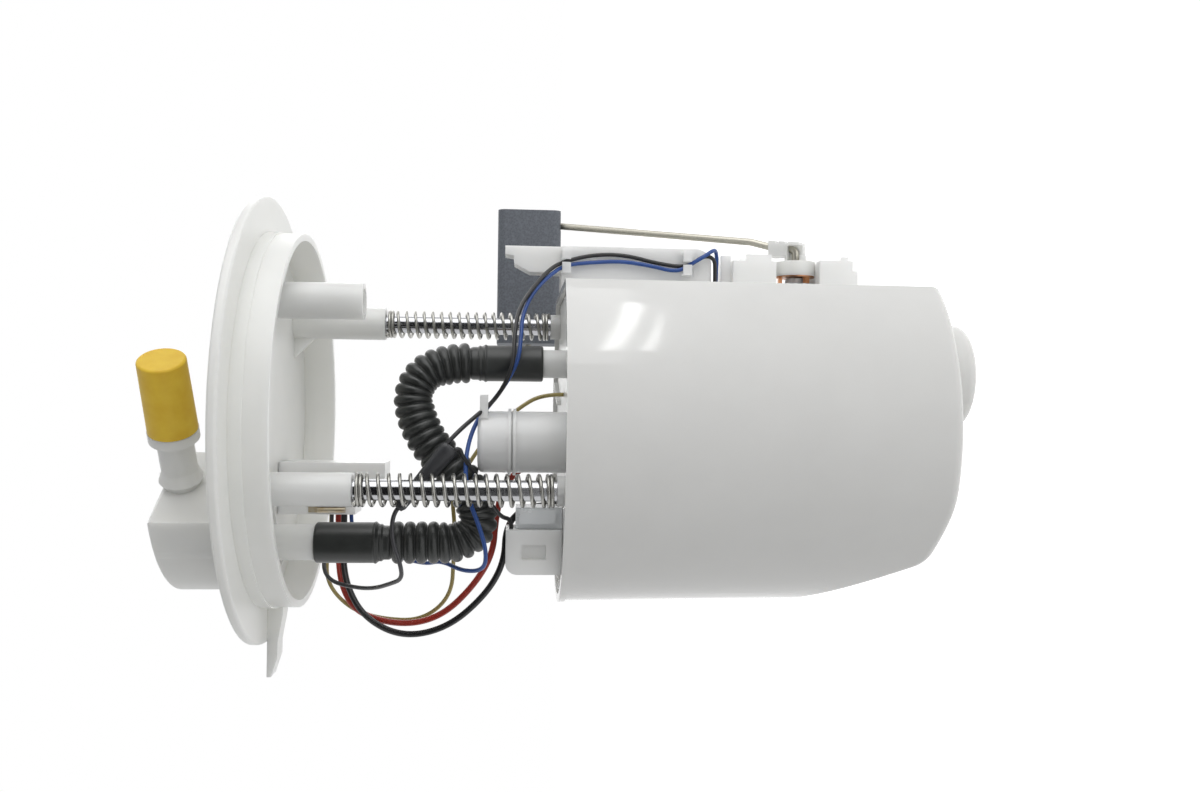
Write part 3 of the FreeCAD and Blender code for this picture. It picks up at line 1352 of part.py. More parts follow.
def make_all():
    """Writes every piece, cover first and wires last."""
    os.makedirs("parts", exist_ok=True)
    save("tank_cover", make_cover())
    save("connector_pins", make_pins())
    save("harness_plug", make_harness_plug())
    save("wire_tags", make_wire_tags())
    save("outlet_cap", make_cap())
    save("guide_rod_near", make_rod(NEAR_ROD))
    save("guide_rod_far", make_rod(FAR_ROD))
    save("rod_clips", make_rod_clips())
    save("guide_spring_near", make_guide_spring(NEAR_ROD))
    save("guide_spring_far", make_guide_spring(FAR_ROD))
    save("reservoir_cup", make_cup())
    save("pump_holder", make_holder())
    save("regulator_housing", make_regulator_housing())
    save("regulator_cap", make_regulator_cap())
    save("pressure_regulator", make_regulator())
    save("regulator_seal", make_regulator_seal())
    save("pump_plug", make_pump_plug())
    save("plug_lock", make_plug_lock())
    save("filter_case", make_filter_case())
    save("filter_lid", make_filter_lid())
    save("filter_element", make_filter_element())
    save("pump_case", make_pump_case())
    save("pump_head", make_pump_head())
    save("chamber_plate", make_chamber_plate())
    save("pump_inlet_cover", make_inlet_cover())
    save("motor_magnets", make_magnets())
    save("motor_brushes", make_brushes())
    save("armature", make_armature())
    save("motor_shaft", make_shaft())
    save("commutator", make_commutator())
    save("impeller", make_impeller())
    save("check_valve", make_check_valve())
    save("check_valve_spring", make_check_spring())
    save("pump_cushion", make_cushion())
    save("strainer_frame", make_strainer_frame())
    save("strainer_sock", make_strainer())
    save("return_tube", make_return_tube())
    save("jet_pump", make_jet_pump())
    save("foot_valve", make_foot_valve())
    save("sender_rail", make_rail())
    save("sender_body", make_sender_body())
    save("resistor_card", make_resistor_card())
    save("sender_contacts", make_sender_contacts())
    save("arm_hub", make_arm_hub())
    save("wiper", make_wiper())
    save("float_arm", swept_arm(0))
    save("float", make_float())
    save("fuel_hose", make_hose())
    save("splice_sleeve", make_sleeve())
    for name, (radius, route) in WIRES.items():
        save(name, cord(name, route, radius))


make_all()
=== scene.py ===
"""Fuel pump module: a white cover on two sprung guide rods, a reservoir with the pump in it, and
the hose and wires between the two. Lengths are in metres, the cords' routes in millimetres.
"""

import math

import bmesh
import bpy
from mathutils import Matrix, Vector


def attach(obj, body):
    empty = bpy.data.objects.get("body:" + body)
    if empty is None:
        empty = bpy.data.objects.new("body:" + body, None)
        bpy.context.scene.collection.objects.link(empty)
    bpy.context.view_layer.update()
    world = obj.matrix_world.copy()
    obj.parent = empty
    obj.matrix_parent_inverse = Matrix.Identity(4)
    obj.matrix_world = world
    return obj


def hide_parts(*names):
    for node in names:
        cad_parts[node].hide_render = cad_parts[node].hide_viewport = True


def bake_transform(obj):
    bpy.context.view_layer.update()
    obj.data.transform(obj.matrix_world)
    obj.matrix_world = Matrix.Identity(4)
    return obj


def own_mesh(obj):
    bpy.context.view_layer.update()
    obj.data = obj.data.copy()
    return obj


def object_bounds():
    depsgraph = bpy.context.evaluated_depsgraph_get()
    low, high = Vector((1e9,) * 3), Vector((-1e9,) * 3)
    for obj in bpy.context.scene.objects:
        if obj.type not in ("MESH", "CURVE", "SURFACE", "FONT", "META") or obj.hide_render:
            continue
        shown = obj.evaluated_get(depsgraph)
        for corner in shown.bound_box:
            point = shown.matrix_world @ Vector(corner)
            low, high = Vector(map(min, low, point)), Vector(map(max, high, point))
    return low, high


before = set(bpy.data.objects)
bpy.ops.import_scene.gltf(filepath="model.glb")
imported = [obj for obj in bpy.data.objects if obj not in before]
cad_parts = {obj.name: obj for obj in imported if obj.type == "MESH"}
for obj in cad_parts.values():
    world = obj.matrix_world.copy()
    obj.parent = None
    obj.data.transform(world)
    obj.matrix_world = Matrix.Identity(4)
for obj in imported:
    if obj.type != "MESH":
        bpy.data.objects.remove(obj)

cad_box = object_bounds()

# Viewpoint. The module stands upright here and lies on its side in the picture, so the camera is
# rolled a quarter turn: the side with the level sender is at the picture's top.
CAMERA_PLACE = (0.006678, -0.3726, -0.076267)
CAMERA_RIGHT = (0.01313, -0.075163, -0.997085)
CAMERA_UP = (0.999896, -0.004948, 0.01354)
PICTURE_WIDTH = 36.0
LENS = 34.464
NEAREST = 0.01

camera_data = bpy.data.cameras.new("camera")
camera_data.sensor_width = PICTURE_WIDTH
camera_data.lens = LENS
camera_data.clip_start = NEAREST
camera = bpy.data.objects.new("camera", camera_data)
right = Vector(CAMERA_RIGHT)
up = Vector(CAMERA_UP)
turn = Matrix((right, up, right.cross(up))).transposed().to_4x4()
camera.matrix_world = Matrix.Translation(CAMERA_PLACE) @ turn
bpy.context.scene.collection.objects.link(camera)
bpy.context.scene.camera = camera

# Floor and room. The floor is bare white paper: it takes the object's soft shadow and is white to
# the camera and in reflections. The room is dark on the side where the camera stands, and
# polished metal and rubber mirror that.
MM = 0.001
FLOOR_SIZE = 6.0
FLOOR_GAP = 0.3 * MM
PAPER_GLOW = 0.8
PAPER_BOUNCE = 0.42
ROOM_LIGHT = 0.27
DARK_SIDE = (-0.08, -0.99, 0.03)
DARK_EDGES = (0.55, 0.68)


def linear(colour):
    """An sRGB hex colour as linear red, green, blue and alpha."""
    shares = [int(colour[i : i + 2], 16) / 255 for i in (1, 3, 5)]
    curve = [s / 12.92 if s <= 0.04045 else ((s + 0.055) / 1.055) ** 2.4 for s in shares]
    return (*curve, 1.0)


def add(tree, kind, settings=None, values=None, links=None):
    """Adds one node. Settings are its properties, values its sockets, links its inputs' sources."""
    made = tree.nodes.new(kind)
    for name, value in (settings or {}).items():
        setattr(made, name, value)
    for name, value in (values or {}).items():
        made.inputs[name].default_value = value
    for name, source in (links or {}).items():
        tree.links.new(source, made.inputs[name])
    return made


def seen_direct(tree):
    """1 for rays that come from the camera, a mirror or glass, else 0."""
    path = add(tree, "ShaderNodeLightPath")
    either = add(tree, "ShaderNodeMath", {"operation": "MAXIMUM"}, links={
        0: path.outputs["Is Camera Ray"], 1: path.outputs["Is Glossy Ray"]})
    any_of = add(tree, "ShaderNodeMath", {"operation": "MAXIMUM"}, links={
        0: either.outputs[0], 1: path.outputs["Is Transmission Ray"]})
    return any_of.outputs[0]


world = bpy.data.worlds.new("white room")
world.use_nodes = True
bpy.context.scene.world = world
tree = world.node_tree
tree.nodes.clear()
way = add(tree, "ShaderNodeTexCoord")
facing = add(tree, "ShaderNodeVectorMath", {"operation": "DOT_PRODUCT"}, {1: DARK_SIDE}, {
    0: way.outputs["Generated"]})
dark = add(tree, "ShaderNodeMapRange", values={
    "From Min": DARK_EDGES[0], "From Max": DARK_EDGES[1]}, links={"Value": facing.outputs["Value"]})
path = add(tree, "ShaderNodeLightPath")
mirrored = add(tree, "ShaderNodeMath", {"operation": "MULTIPLY"}, links={
    0: dark.outputs["Result"], 1: path.outputs["Is Glossy Ray"]})
walls = add(tree, "ShaderNodeMix", {"data_type": "RGBA"}, {
    "A": linear("#FFFFFF"), "B": linear("#1C1C1E")}, {"Factor": mirrored.outputs[0]})
soft = add(tree, "ShaderNodeBackground", values={"Color": linear("#FFFFFF"), "Strength": ROOM_LIGHT})
white = add(tree, "ShaderNodeBackground", values={"Strength": 1.0}, links={
    "Color": walls.outputs["Result"]})
either = add(tree, "ShaderNodeMixShader", links={
    0: seen_direct(tree), 1: soft.outputs[0], 2: white.outputs[0]})
add(tree, "ShaderNodeOutputWorld", links={0: either.outputs[0]})

paper = bpy.data.materials.new("white background paper")
paper.use_nodes = True
tree = paper.node_tree
tree.nodes.clear()
sheet = add(tree, "ShaderNodeBsdfDiffuse", values={"Color": linear("#E4E4E4")})
glow = add(tree, "ShaderNodeEmission", values={"Color": linear("#FFFFFF"), "Strength": PAPER_GLOW})
bounce = add(tree, "ShaderNodeEmission", values={
    "Color": linear("#FFFFFF"), "Strength": PAPER_BOUNCE})
lift = add(tree, "ShaderNodeMixShader", links={
    0: seen_direct(tree), 1: bounce.outputs[0], 2: glow.outputs[0]})
both = add(tree, "ShaderNodeAddShader", links={0: sheet.outputs[0], 1: lift.outputs[0]})
add(tree, "ShaderNodeOutputMaterial", links={0: both.outputs[0]})

half = FLOOR_SIZE / 2
low = cad_box[0][2] - FLOOR_GAP
mesh = bpy.data.meshes.new("floor")
corners = [(-half, -half, low), (half, -half, low), (half, half, low), (-half, half, low)]
mesh.from_pydata(corners, [], [(0, 1, 2, 3)])
mesh.materials.append(paper)
floor = bpy.data.objects.new("floor", mesh)
bpy.context.scene.collection.objects.link(floor)

# Lamps: one large soft box over the picture's top edge, weaker ones on the camera's side, at the
# cover's end and behind, so that white plastic keeps its shape without clipping. The two on the
# camera's side leave no reflection on glossy faces.
LAMPS = {
    "soft_box_top": ((0.75, -0.35, -0.02), 0.9, 4.0),
    "soft_box_front": ((0.35, -0.8, 0.0), 0.8, 0.4),
    "soft_box_left": ((-0.1, -0.5, 0.65), 0.6, 0.45),
    "soft_box_back": ((0.35, 0.8, 0.3), 0.8, 2.2),
}
UNMIRRORED = ("soft_box_front", "soft_box_left")
LAMP_AIM = Vector((0, 0, -0.1))
for name, (place, size, power) in LAMPS.items():
    data = bpy.data.lights.new(name, "AREA")
    data.shape = "SQUARE"
    data.size = size
    data.energy = power
    lamp = bpy.data.objects.new(name, data)
    aim = LAMP_AIM - Vector(place)
    lamp.matrix_world = Matrix.Translation(place) @ aim.to_track_quat("-Z", "Y").to_matrix().to_4x4()
    lamp.visible_glossy = name not in UNMIRRORED
    bpy.context.scene.collection.objects.link(lamp)

# Window: two narrow bright panes in the room, each given by its lower and upper end. Their
# reflections are the two slanted streaks near the cup's lip.
WINDOW_PANES = {
    "window_pane_near": ((0.533, -0.526, -0.175), (0.726, -0.126, -0.193)),
    "window_pane_far": ((0.534, -0.52, -0.209), (0.727, -0.098, -0.224)),
}
PANE_WIDTH = 0.014
PANE_POWER = 0.2
PANE_AIM = Vector((0.029, -0.048, -0.115))
for name, (low_end, high_end) in WINDOW_PANES.items():
    middle = (Vector(low_end) + Vector(high_end)) / 2
    long_way = Vector(high_end) - Vector(low_end)
    data = bpy.data.lights.new(name, "AREA")
    data.shape = "RECTANGLE"
    data.size, data.size_y = long_way.length, PANE_WIDTH
    data.energy = PANE_POWER
    pane = bpy.data.objects.new(name, data)
    back = (middle - PANE_AIM).normalized()
    long_way = (long_way - back * back.dot(long_way)).normalized()
    turn = Matrix((long_way, back.cross(long_way), back)).transposed().to_4x4()
    pane.matrix_world = Matrix.Translation(middle) @ turn
    bpy.context.scene.collection.objects.link(pane)

# Tank cover, holder, plugs, rail and the small valves: natural acetal, injection moulded. The
# resin has no pigment, so it is milky white, and thin walls let a little light through.
ACETAL = "#EBEBE8"
ACETAL_SHADE = "#E3E4E1"
FLOW_PATCH = 14 * MM
MOULD_TEXTURE = 0.35 * MM


def new_material(name, finish):
    """A material with the numbers of its finish set on its shader, its node tree and the shader."""
    made = bpy.data.materials.new(name)
    made.use_nodes = True
    shader = made.node_tree.nodes["Principled BSDF"]
    for socket, value in finish.items():
        shader.inputs[socket].default_value = value
    return made, made.node_tree, shader


def dress(material, *names):
    """Gives CAD nodes a material."""
    for name in names:
        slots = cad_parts[name].data.materials
        slots.clear()
        slots.append(material)


natural_acetal, tree, shader = new_material("natural acetal, moulded", {
    "Roughness": 0.32, "IOR": 1.48, "Subsurface Weight": 0.85,
    "Subsurface Radius": (4.5 * MM, 4.4 * MM, 4.2 * MM), "Subsurface Scale": 1.0})
# Milky and slightly glossy, with faint cloudy patches from the flow of the melt and a fine
# texture from the mould's face that softens the highlights.
place = add(tree, "ShaderNodeTexCoord")
clouds = add(tree, "ShaderNodeTexNoise", values={"Scale": 1 / FLOW_PATCH, "Detail": 3.0}, links={
    "Vector": place.outputs["Object"]})
tint = add(tree, "ShaderNodeMix", {"data_type": "RGBA"}, {
    "A": linear(ACETAL_SHADE), "B": linear(ACETAL)}, {"Factor": clouds.outputs["Fac"]})
tree.links.new(tint.outputs["Result"], shader.inputs["Base Color"])
grain = add(tree, "ShaderNodeTexNoise", values={"Scale": 1 / MOULD_TEXTURE, "Detail": 2.0}, links={
    "Vector": place.outputs["Object"]})
skin = add(tree, "ShaderNodeBump", values={"Strength": 0.12, "Distance": 0.02 * MM}, links={
    "Height": grain.outputs["Fac"]})
tree.links.new(skin.outputs["Normal"], shader.inputs["Normal"])
dress(natural_acetal, "tank_cover", "pump_holder", "arm_hub", "filter_case", "filter_lid",
      "check_valve", "strainer_frame", "return_tube", "jet_pump", "foot_valve")

thin_acetal_painted_paler, tree, shader = new_material("natural acetal, thin walls", {
    "Roughness": 0.3, "IOR": 1.48, "Subsurface Weight": 0.8,
    "Subsurface Radius": (4.0 * MM, 3.9 * MM, 3.8 * MM), "Subsurface Scale": 1.0})
# The walls of the rail and of the plugs are so thin that light from behind brightens them evenly.
# Their tint is also painted paler than the other acetal's: painted light for that glow.
place = add(tree, "ShaderNodeTexCoord")
clouds = add(tree, "ShaderNodeTexNoise", values={"Scale": 1 / FLOW_PATCH, "Detail": 3.0}, links={
    "Vector": place.outputs["Object"]})
tint = add(tree, "ShaderNodeMix", {"data_type": "RGBA"}, {
    "A": linear("#F0F1EF"), "B": linear("#F6F6F5")}, {"Factor": clouds.outputs["Fac"]})
tree.links.new(tint.outputs["Result"], shader.inputs["Base Color"])
grain = add(tree, "ShaderNodeTexNoise", values={"Scale": 1 / MOULD_TEXTURE, "Detail": 2.0}, links={
    "Vector": place.outputs["Object"]})
skin = add(tree, "ShaderNodeBump", values={"Strength": 0.1, "Distance": 0.02 * MM}, links={
    "Height": grain.outputs["Fac"]})
tree.links.new(skin.outputs["Normal"], shader.inputs["Normal"])
dress(thin_acetal_painted_paler, "harness_plug", "regulator_housing", "regulator_cap", "pump_plug", "sender_rail",
      "sender_body")

# Plug lock: the sliding latch that keeps the pump's plug in its place, moulded in clear
# polyamide that has gone milky.
clear_polyamide, tree, shader = new_material("clear polyamide, milky", {
    "IOR": 1.52, "Transmission Weight": 0.2})
# Lets a fifth of the light through, with a cool tint and a lightly frosted face.
place = add(tree, "ShaderNodeTexCoord")
frost = add(tree, "ShaderNodeTexNoise", values={"Scale": 1 / (5 * MM), "Detail": 2.0}, links={
    "Vector": place.outputs["Object"]})
tint = add(tree, "ShaderNodeMix", {"data_type": "RGBA"}, {
    "A": linear("#E6EAED"), "B": linear("#F5F7F8")}, {"Factor": frost.outputs["Fac"]})
tree.links.new(tint.outputs["Result"], shader.inputs["Base Color"])
dull = add(tree, "ShaderNodeMapRange", values={"To Min": 0.16, "To Max": 0.34}, links={
    "Value": frost.outputs["Fac"]})
tree.links.new(dull.outputs["Result"], shader.inputs["Roughness"])
dress(clear_polyamide, "plug_lock")

# Guide rods: ground and polished steel bar with rounded ends, pressed into the cover's columns.
# Their clips are stamped spring steel washers.
ROD_STEEL = "#B9BABD"
GRINDING_LINE = 0.5 * MM
GRINDING_SPREAD = 50 * MM

polished_steel, tree, shader = new_material("polished steel, ground", {
    "Base Color": linear(ROD_STEEL), "Metallic": 1.0})
# Mirror bright, with faint rings round the bar from grinding that draw out the reflections.
place = add(tree, "ShaderNodeTexCoord")
stretch = add(tree, "ShaderNodeMapping", values={
    "Scale": (1 / GRINDING_SPREAD, 1 / GRINDING_SPREAD, 1 / GRINDING_LINE)}, links={
    "Vector": place.outputs["Object"]})
rings = add(tree, "ShaderNodeTexNoise", values={"Scale": 1.0, "Detail": 2.0}, links={
    "Vector": stretch.outputs["Vector"]})
polish = add(tree, "ShaderNodeMapRange", values={"To Min": 0.1, "To Max": 0.2}, links={
    "Value": rings.outputs["Fac"]})
tree.links.new(polish.outputs["Result"], shader.inputs["Roughness"])
dress(polished_steel, "guide_rod_near", "guide_rod_far", "rod_clips", "motor_shaft")

# Guide springs: round spring wire, cold wound, with closed coils at both ends. They push the
# reservoir down on the tank's floor and shorten as it slides up the rods.
SPRING_MEAN_RADIUS = 4.4 * MM
SPRING_WIRE_RADIUS = 0.5 * MM
SPRING_HIGH = -31.6 * MM
SPRING_LOW = -88.9 * MM
CLOSED_TURNS = 2.3
CLOSED_PITCH = 1.04 * MM
OPEN_TURNS = 17.0
TURN_STEPS = 40
WIRE_SIDES = 10
GUIDE_RODS = {"near": (-18.7 * MM, -44.6 * MM), "far": (33.3 * MM, 34.9 * MM)}

spring_steel, tree, shader = new_material("spring steel wire, drawn", {"Metallic": 1.0})
# Bright grey, a little duller than the rod, with faint uneven marks from the drawing die.
place = add(tree, "ShaderNodeTexCoord")
marks = add(tree, "ShaderNodeTexNoise", values={"Scale": 1 / (1.2 * MM), "Detail": 4.0}, links={
    "Vector": place.outputs["Object"]})
tint = add(tree, "ShaderNodeMix", {"data_type": "RGBA"}, {
    "A": linear("#8C8B86"), "B": linear("#BEBDB8")}, {"Factor": marks.outputs["Fac"]})
tree.links.new(tint.outputs["Result"], shader.inputs["Base Color"])
dull = add(tree, "ShaderNodeMapRange", values={"To Min": 0.2, "To Max": 0.38}, links={
    "Value": marks.outputs["Fac"]})
tree.links.new(dull.outputs["Result"], shader.inputs["Roughness"])


def tube_mesh(name, line, radii, sides, material, widths=None, thin_way=None):
    """A closed tube through a line's points, a ring at each. With widths it is flat: thin one way
    by its radii and wide across."""
    heading = (line[1] - line[0]).normalized()
    side = (thin_way or heading.orthogonal()).normalized()
    made = bmesh.new()
    rings = []
    for i, point in enumerate(line):
        ahead = (line[min(i + 1, len(line) - 1)] - line[max(i - 1, 0)]).normalized()
        side = heading.rotation_difference(ahead) @ side
        heading = ahead
        other = heading.cross(side)
        wide = radii[i] if widths is None else widths[i]
        rings.append([
            made.verts.new(point + side * radii[i] * math.cos(angle) + other * wide * math.sin(angle))
            for angle in (2 * math.pi * k / sides for k in range(sides))])
    for here, after in zip(rings, rings[1:]):
        for k in range(sides):
            made.faces.new((here[k], here[(k + 1) % sides], after[(k + 1) % sides], after[k]))
    made.faces.new(rings[0][::-1])
    made.faces.new(rings[-1])
    bmesh.ops.recalc_face_normals(made, faces=made.faces)
    mesh = bpy.data.meshes.new(name)
    made.to_mesh(mesh)
    made.free()
    mesh.materials.append(material)
    for face in mesh.polygons:
        face.use_smooth = len(face.vertices) == 4
    shape = bpy.data.objects.new(name, mesh)
    bpy.context.scene.collection.objects.link(shape)
    return shape


def spring_height(turns):
    """Height of the spring's wire after a number of turns: closed at both ends, even between."""
    total = SPRING_HIGH - SPRING_LOW - 2 * SPRING_WIRE_RADIUS
    pitch = (total - 2 * CLOSED_TURNS * CLOSED_PITCH) / OPEN_TURNS
    first = min(turns, CLOSED_TURNS) * CLOSED_PITCH
    middle = min(max(turns - CLOSED_TURNS, 0), OPEN_TURNS) * pitch
    last = max(turns - CLOSED_TURNS - OPEN_TURNS, 0) * CLOSED_PITCH
    return first + middle + last


all_turns = 2 * CLOSED_TURNS + OPEN_TURNS
for side_name, (x, y) in GUIDE_RODS.items():
    line = []
    for i in range(int(all_turns * TURN_STEPS) + 1):
        turns = i / TURN_STEPS
        angle = 2 * math.pi * turns
        line.append(Vector((
            x + SPRING_MEAN_RADIUS * math.cos(angle),
            y + SPRING_MEAN_RADIUS * math.sin(angle),
            SPRING_LOW + SPRING_WIRE_RADIUS + spring_height(turns))))
    spring = tube_mesh("spring_" + side_name, line, [SPRING_WIRE_RADIUS] * len(line), WIRE_SIDES,
                       spring_steel)
    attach(spring, "cover")
    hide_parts("guide_spring_" + side_name)
    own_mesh(spring)

# Outlet cap: a soft yellow polyethylene plug cap, moulded, pushed on the outlet until the hose
# of the fuel line takes its place.
CAP_TOP = "#F1D044"
CAP_SIDE = "#DDAF22"

yellow_cap, tree, shader = new_material("yellow polyethylene, moulded", {
    "IOR": 1.5, "Subsurface Weight": 0.15, "Subsurface Radius": (2.0 * MM, 1.4 * MM, 0.4 * MM),
    "Subsurface Scale": 1.0})
# Matt and waxy, paler where its open sides scatter the light, with fine scuffs.
place = add(tree, "ShaderNodeTexCoord")
wax = add(tree, "ShaderNodeTexNoise", values={"Scale": 1 / (5 * MM), "Detail": 4.0}, links={
    "Vector": place.outputs["Object"]})
tint = add(tree, "ShaderNodeMix", {"data_type": "RGBA"}, {
    "A": linear(CAP_SIDE), "B": linear(CAP_TOP)}, {"Factor": wax.outputs["Fac"]})
tree.links.new(tint.outputs["Result"], shader.inputs["Base Color"])
scuff = add(tree, "ShaderNodeTexNoise", values={"Scale": 1 / (0.6 * MM), "Detail": 3.0}, links={
    "Vector": place.outputs["Object"]})
dull = add(tree, "ShaderNodeMapRange", values={"To Min": 0.42, "To Max": 0.6}, links={
    "Value": scuff.outputs["Fac"]})
tree.links.new(dull.outputs["Result"], shader.inputs["Roughness"])
skin = add(tree, "ShaderNodeBump", values={"Strength": 0.25, "Distance": 0.03 * MM}, links={
    "Height": scuff.outputs["Fac"]})
tree.links.new(skin.outputs["Normal"], shader.inputs["Normal"])
dress(yellow_cap, "outlet_cap")

# Reservoir: a deep cup of natural acetal with a flat side and a slanted heel. Its long walls
# sink a little as they cool.
SINK_WAVE = 26 * MM

cup_acetal_painted_darker, tree, shader = new_material("natural acetal, deep moulded cup", {
    "Roughness": 0.07, "IOR": 1.5, "Subsurface Weight": 0.25,
    "Subsurface Radius": (2.0 * MM, 1.9 * MM, 1.8 * MM), "Subsurface Scale": 1.0})
# Glossier than the small parts, and faintly wavy, so that a lamp's reflection breaks up on it.
place = add(tree, "ShaderNodeTexCoord")
clouds = add(tree, "ShaderNodeTexNoise", values={"Scale": 1 / FLOW_PATCH, "Detail": 2.0}, links={
    "Vector": place.outputs["Object"]})
# The cup's tint is a darker grey than the other acetal's: painted shade that dims the whole cup.
tint = add(tree, "ShaderNodeMix", {"data_type": "RGBA"}, {
    "A": linear("#DCDCDA"), "B": linear("#E2E2E0")}, {"Factor": clouds.outputs["Fac"]})
tree.links.new(tint.outputs["Result"], shader.inputs["Base Color"])
sinks = add(tree, "ShaderNodeTexNoise", values={
    "Scale": 1 / SINK_WAVE, "Detail": 3.0, "Roughness": 0.45}, links={
    "Vector": place.outputs["Object"]})
skin = add(tree, "ShaderNodeBump", values={"Strength": 0.15, "Distance": 0.3 * MM}, links={
    "Height": sinks.outputs["Fac"]})
tree.links.new(skin.outputs["Normal"], shader.inputs["Normal"])
dress(cup_acetal_painted_darker, "reservoir_cup")

# Fuel hose: black rubber over the cover's stub and the holder's stub. Both ends are plain cuffs
# with two thin rings, and between them the wall is corrugated so that it bends without a kink.
HOSE_ROUTE = [
    (-35.6, -28.0, -18.72),
    (-35.6, -28.0, -54.7),
    (-35.1, -27.7, -60.5),
    (-31.6, -27.2, -65.8),
    (-26.0, -26.7, -65.8),
    (-19.1, -25.8, -62.6),
    (-12.6, -24.8, -56.9),
    (-5.7, -23.8, -50.8),
    (2.1, -22.8, -47.1),
    (9.1, -22.0, -46.2),
    (15.2, -20.8, -49.8),
    (17.8, -19.5, -56.7),
    (18.4, -19.0, -64.3),
    (18.4, -19.0, -85.2),
]
CUFF_RADII = (6.0, 5.5)
CUFF_LENGTH = 18.6
CUFF_FALL = 3.0
MOUTH_REACH = 0.6
MOUTH_DEPTH = 0.5
CUFF_RINGS = (17.6, 19.3)
RING_REACH = 0.5
RING_PROUD = 0.3
NECK_RADIUS = 5.05
NECK_LENGTH = 22.2
NECK_FALL = 0.9
RIB_PITCH = 3.5
RIB_CROWD = 6.6
RIB_CROWD_POWER = 0.7
RIB_RADIUS = 6.3
VALLEY_RADIUS = 4.6
HOSE_STEP = 0.25
HOSE_SIDES = 40
BEND_REACH = 10
SQUEEZE_LIMIT = 0.85

hose_rubber, tree, shader = new_material("black rubber, moulded hose", {
    "IOR": 1.52, "Specular IOR Level": 0.5, "Sheen Weight": 0.08, "Sheen Roughness": 0.5})
# Dark grey rather than black, with a dull sheen, a cloudy bloom and fine pores.
place = add(tree, "ShaderNodeTexCoord")
bloom = add(tree, "ShaderNodeTexNoise", values={"Scale": 1 / (4 * MM), "Detail": 6.0}, links={
    "Vector": place.outputs["Object"]})
tint = add(tree, "ShaderNodeMix", {"data_type": "RGBA"}, {
    "A": linear("#1B1D1C"), "B": linear("#2B2E2C")}, {"Factor": bloom.outputs["Fac"]})
tree.links.new(tint.outputs["Result"], shader.inputs["Base Color"])
dull = add(tree, "ShaderNodeMapRange", values={"To Min": 0.28, "To Max": 0.48}, links={
    "Value": bloom.outputs["Fac"]})
tree.links.new(dull.outputs["Result"], shader.inputs["Roughness"])
pores = add(tree, "ShaderNodeTexNoise", values={"Scale": 1 / (0.4 * MM), "Detail": 3.0}, links={
    "Vector": place.outputs["Object"]})
skin = add(tree, "ShaderNodeBump", values={"Strength": 0.2, "Distance": 0.03 * MM}, links={
    "Height": pores.outputs["Fac"]})
tree.links.new(skin.outputs["Normal"], shader.inputs["Normal"])


def laid_line(name, route, step):
    """Points at an even step along the smooth line that a route of points in millimetres steers."""
    curve = bpy.data.curves.new(name, "CURVE")
    curve.dimensions = "3D"
    curve.resolution_u = 48
    spline = curve.splines.new("NURBS")
    spline.points.add(len(route) - 1)
    for point, (x, y, z) in zip(spline.points, route):
        point.co = (x * MM, y * MM, z * MM, 1.0)
    spline.order_u = 3
    spline.use_endpoint_u = True
    holder = bpy.data.objects.new(name, curve)
    bpy.context.scene.collection.objects.link(holder)
    bpy.context.view_layer.update()
    drawn = holder.evaluated_get(bpy.context.evaluated_depsgraph_get())
    mesh = bpy.data.meshes.new_from_object(drawn)
    fine = [v.co.copy() for v in mesh.vertices]
    bpy.data.meshes.remove(mesh)
    bpy.data.objects.remove(holder)
    bpy.data.curves.remove(curve)
    reach = [0.0]
    for a, b in zip(fine, fine[1:]):
        reach.append(reach[-1] + (b - a).length)
    count = max(2, round(reach[-1] / (step * MM)))
    line = []
    k = 0
    for i in range(count + 1):
        wanted = reach[-1] * i / count
        while k < len(fine) - 2 and reach[k + 1] < wanted:
            k += 1
        share = (wanted - reach[k]) / max(reach[k + 1] - reach[k], 1e-9)
        line.append(fine[k].lerp(fine[k + 1], min(max(share, 0.0), 1.0)))
    return line, reach[-1] / MM


def rib_count(line, step):
    """Number of ribs before each point of the hose's line: they crowd together where it bends."""
    count = [0.0]
    for i in range(1, len(line)):
        k = min(max(i, BEND_REACH), len(line) - 1 - BEND_REACH)
        back = line[k] - line[k - BEND_REACH]
        ahead = line[k + BEND_REACH] - line[k]
        bend = back.angle(ahead) / (BEND_REACH * step)
        count.append(count[-1] + step * (1 + RIB_CROWD * bend) ** RIB_CROWD_POWER / RIB_PITCH)
    return count


def hose_radii(line, total):
    """Outer radius of the hose at each point of its line: cuffs, thin rings, necks and ribs."""
    step = total / (len(line) - 1)
    count = rib_count(line, step)
    neck = round(NECK_LENGTH / step)
    first, last = count[neck], count[-1 - neck]
    ribs = round(last - first)
    radii = []
    for i in range(len(line)):
        along = i * step
        end = min(along, total - along)
        cuff = CUFF_RADII[0] if along < total / 2 else CUFF_RADII[1]
        if end < NECK_LENGTH:
            ease = min(max((end - CUFF_LENGTH) / CUFF_FALL + 0.5, 0.0), 1.0)
            radius = cuff + (NECK_RADIUS - cuff) * ease * ease * (3 - 2 * ease)
            radius -= MOUTH_DEPTH * max(0.0, 1 - end / MOUTH_REACH) ** 2
            for ring in CUFF_RINGS:
                radius += RING_PROUD * max(0.0, 1 - ((end - ring) / RING_REACH) ** 2)
            fall = max(0.0, 1 - (NECK_LENGTH - end) / NECK_FALL)
            radius -= (NECK_RADIUS - VALLEY_RADIUS) * fall**2
        else:
            place_in_rib = ribs * (count[i] - first) / (last - first) % 1.0
            crest = max(0.0, 1 - (2 * place_in_rib - 1) ** 2) ** 0.5
            radius = VALLEY_RADIUS + (RIB_RADIUS - VALLEY_RADIUS) * crest
        radii.append(radius * MM)
    return radii


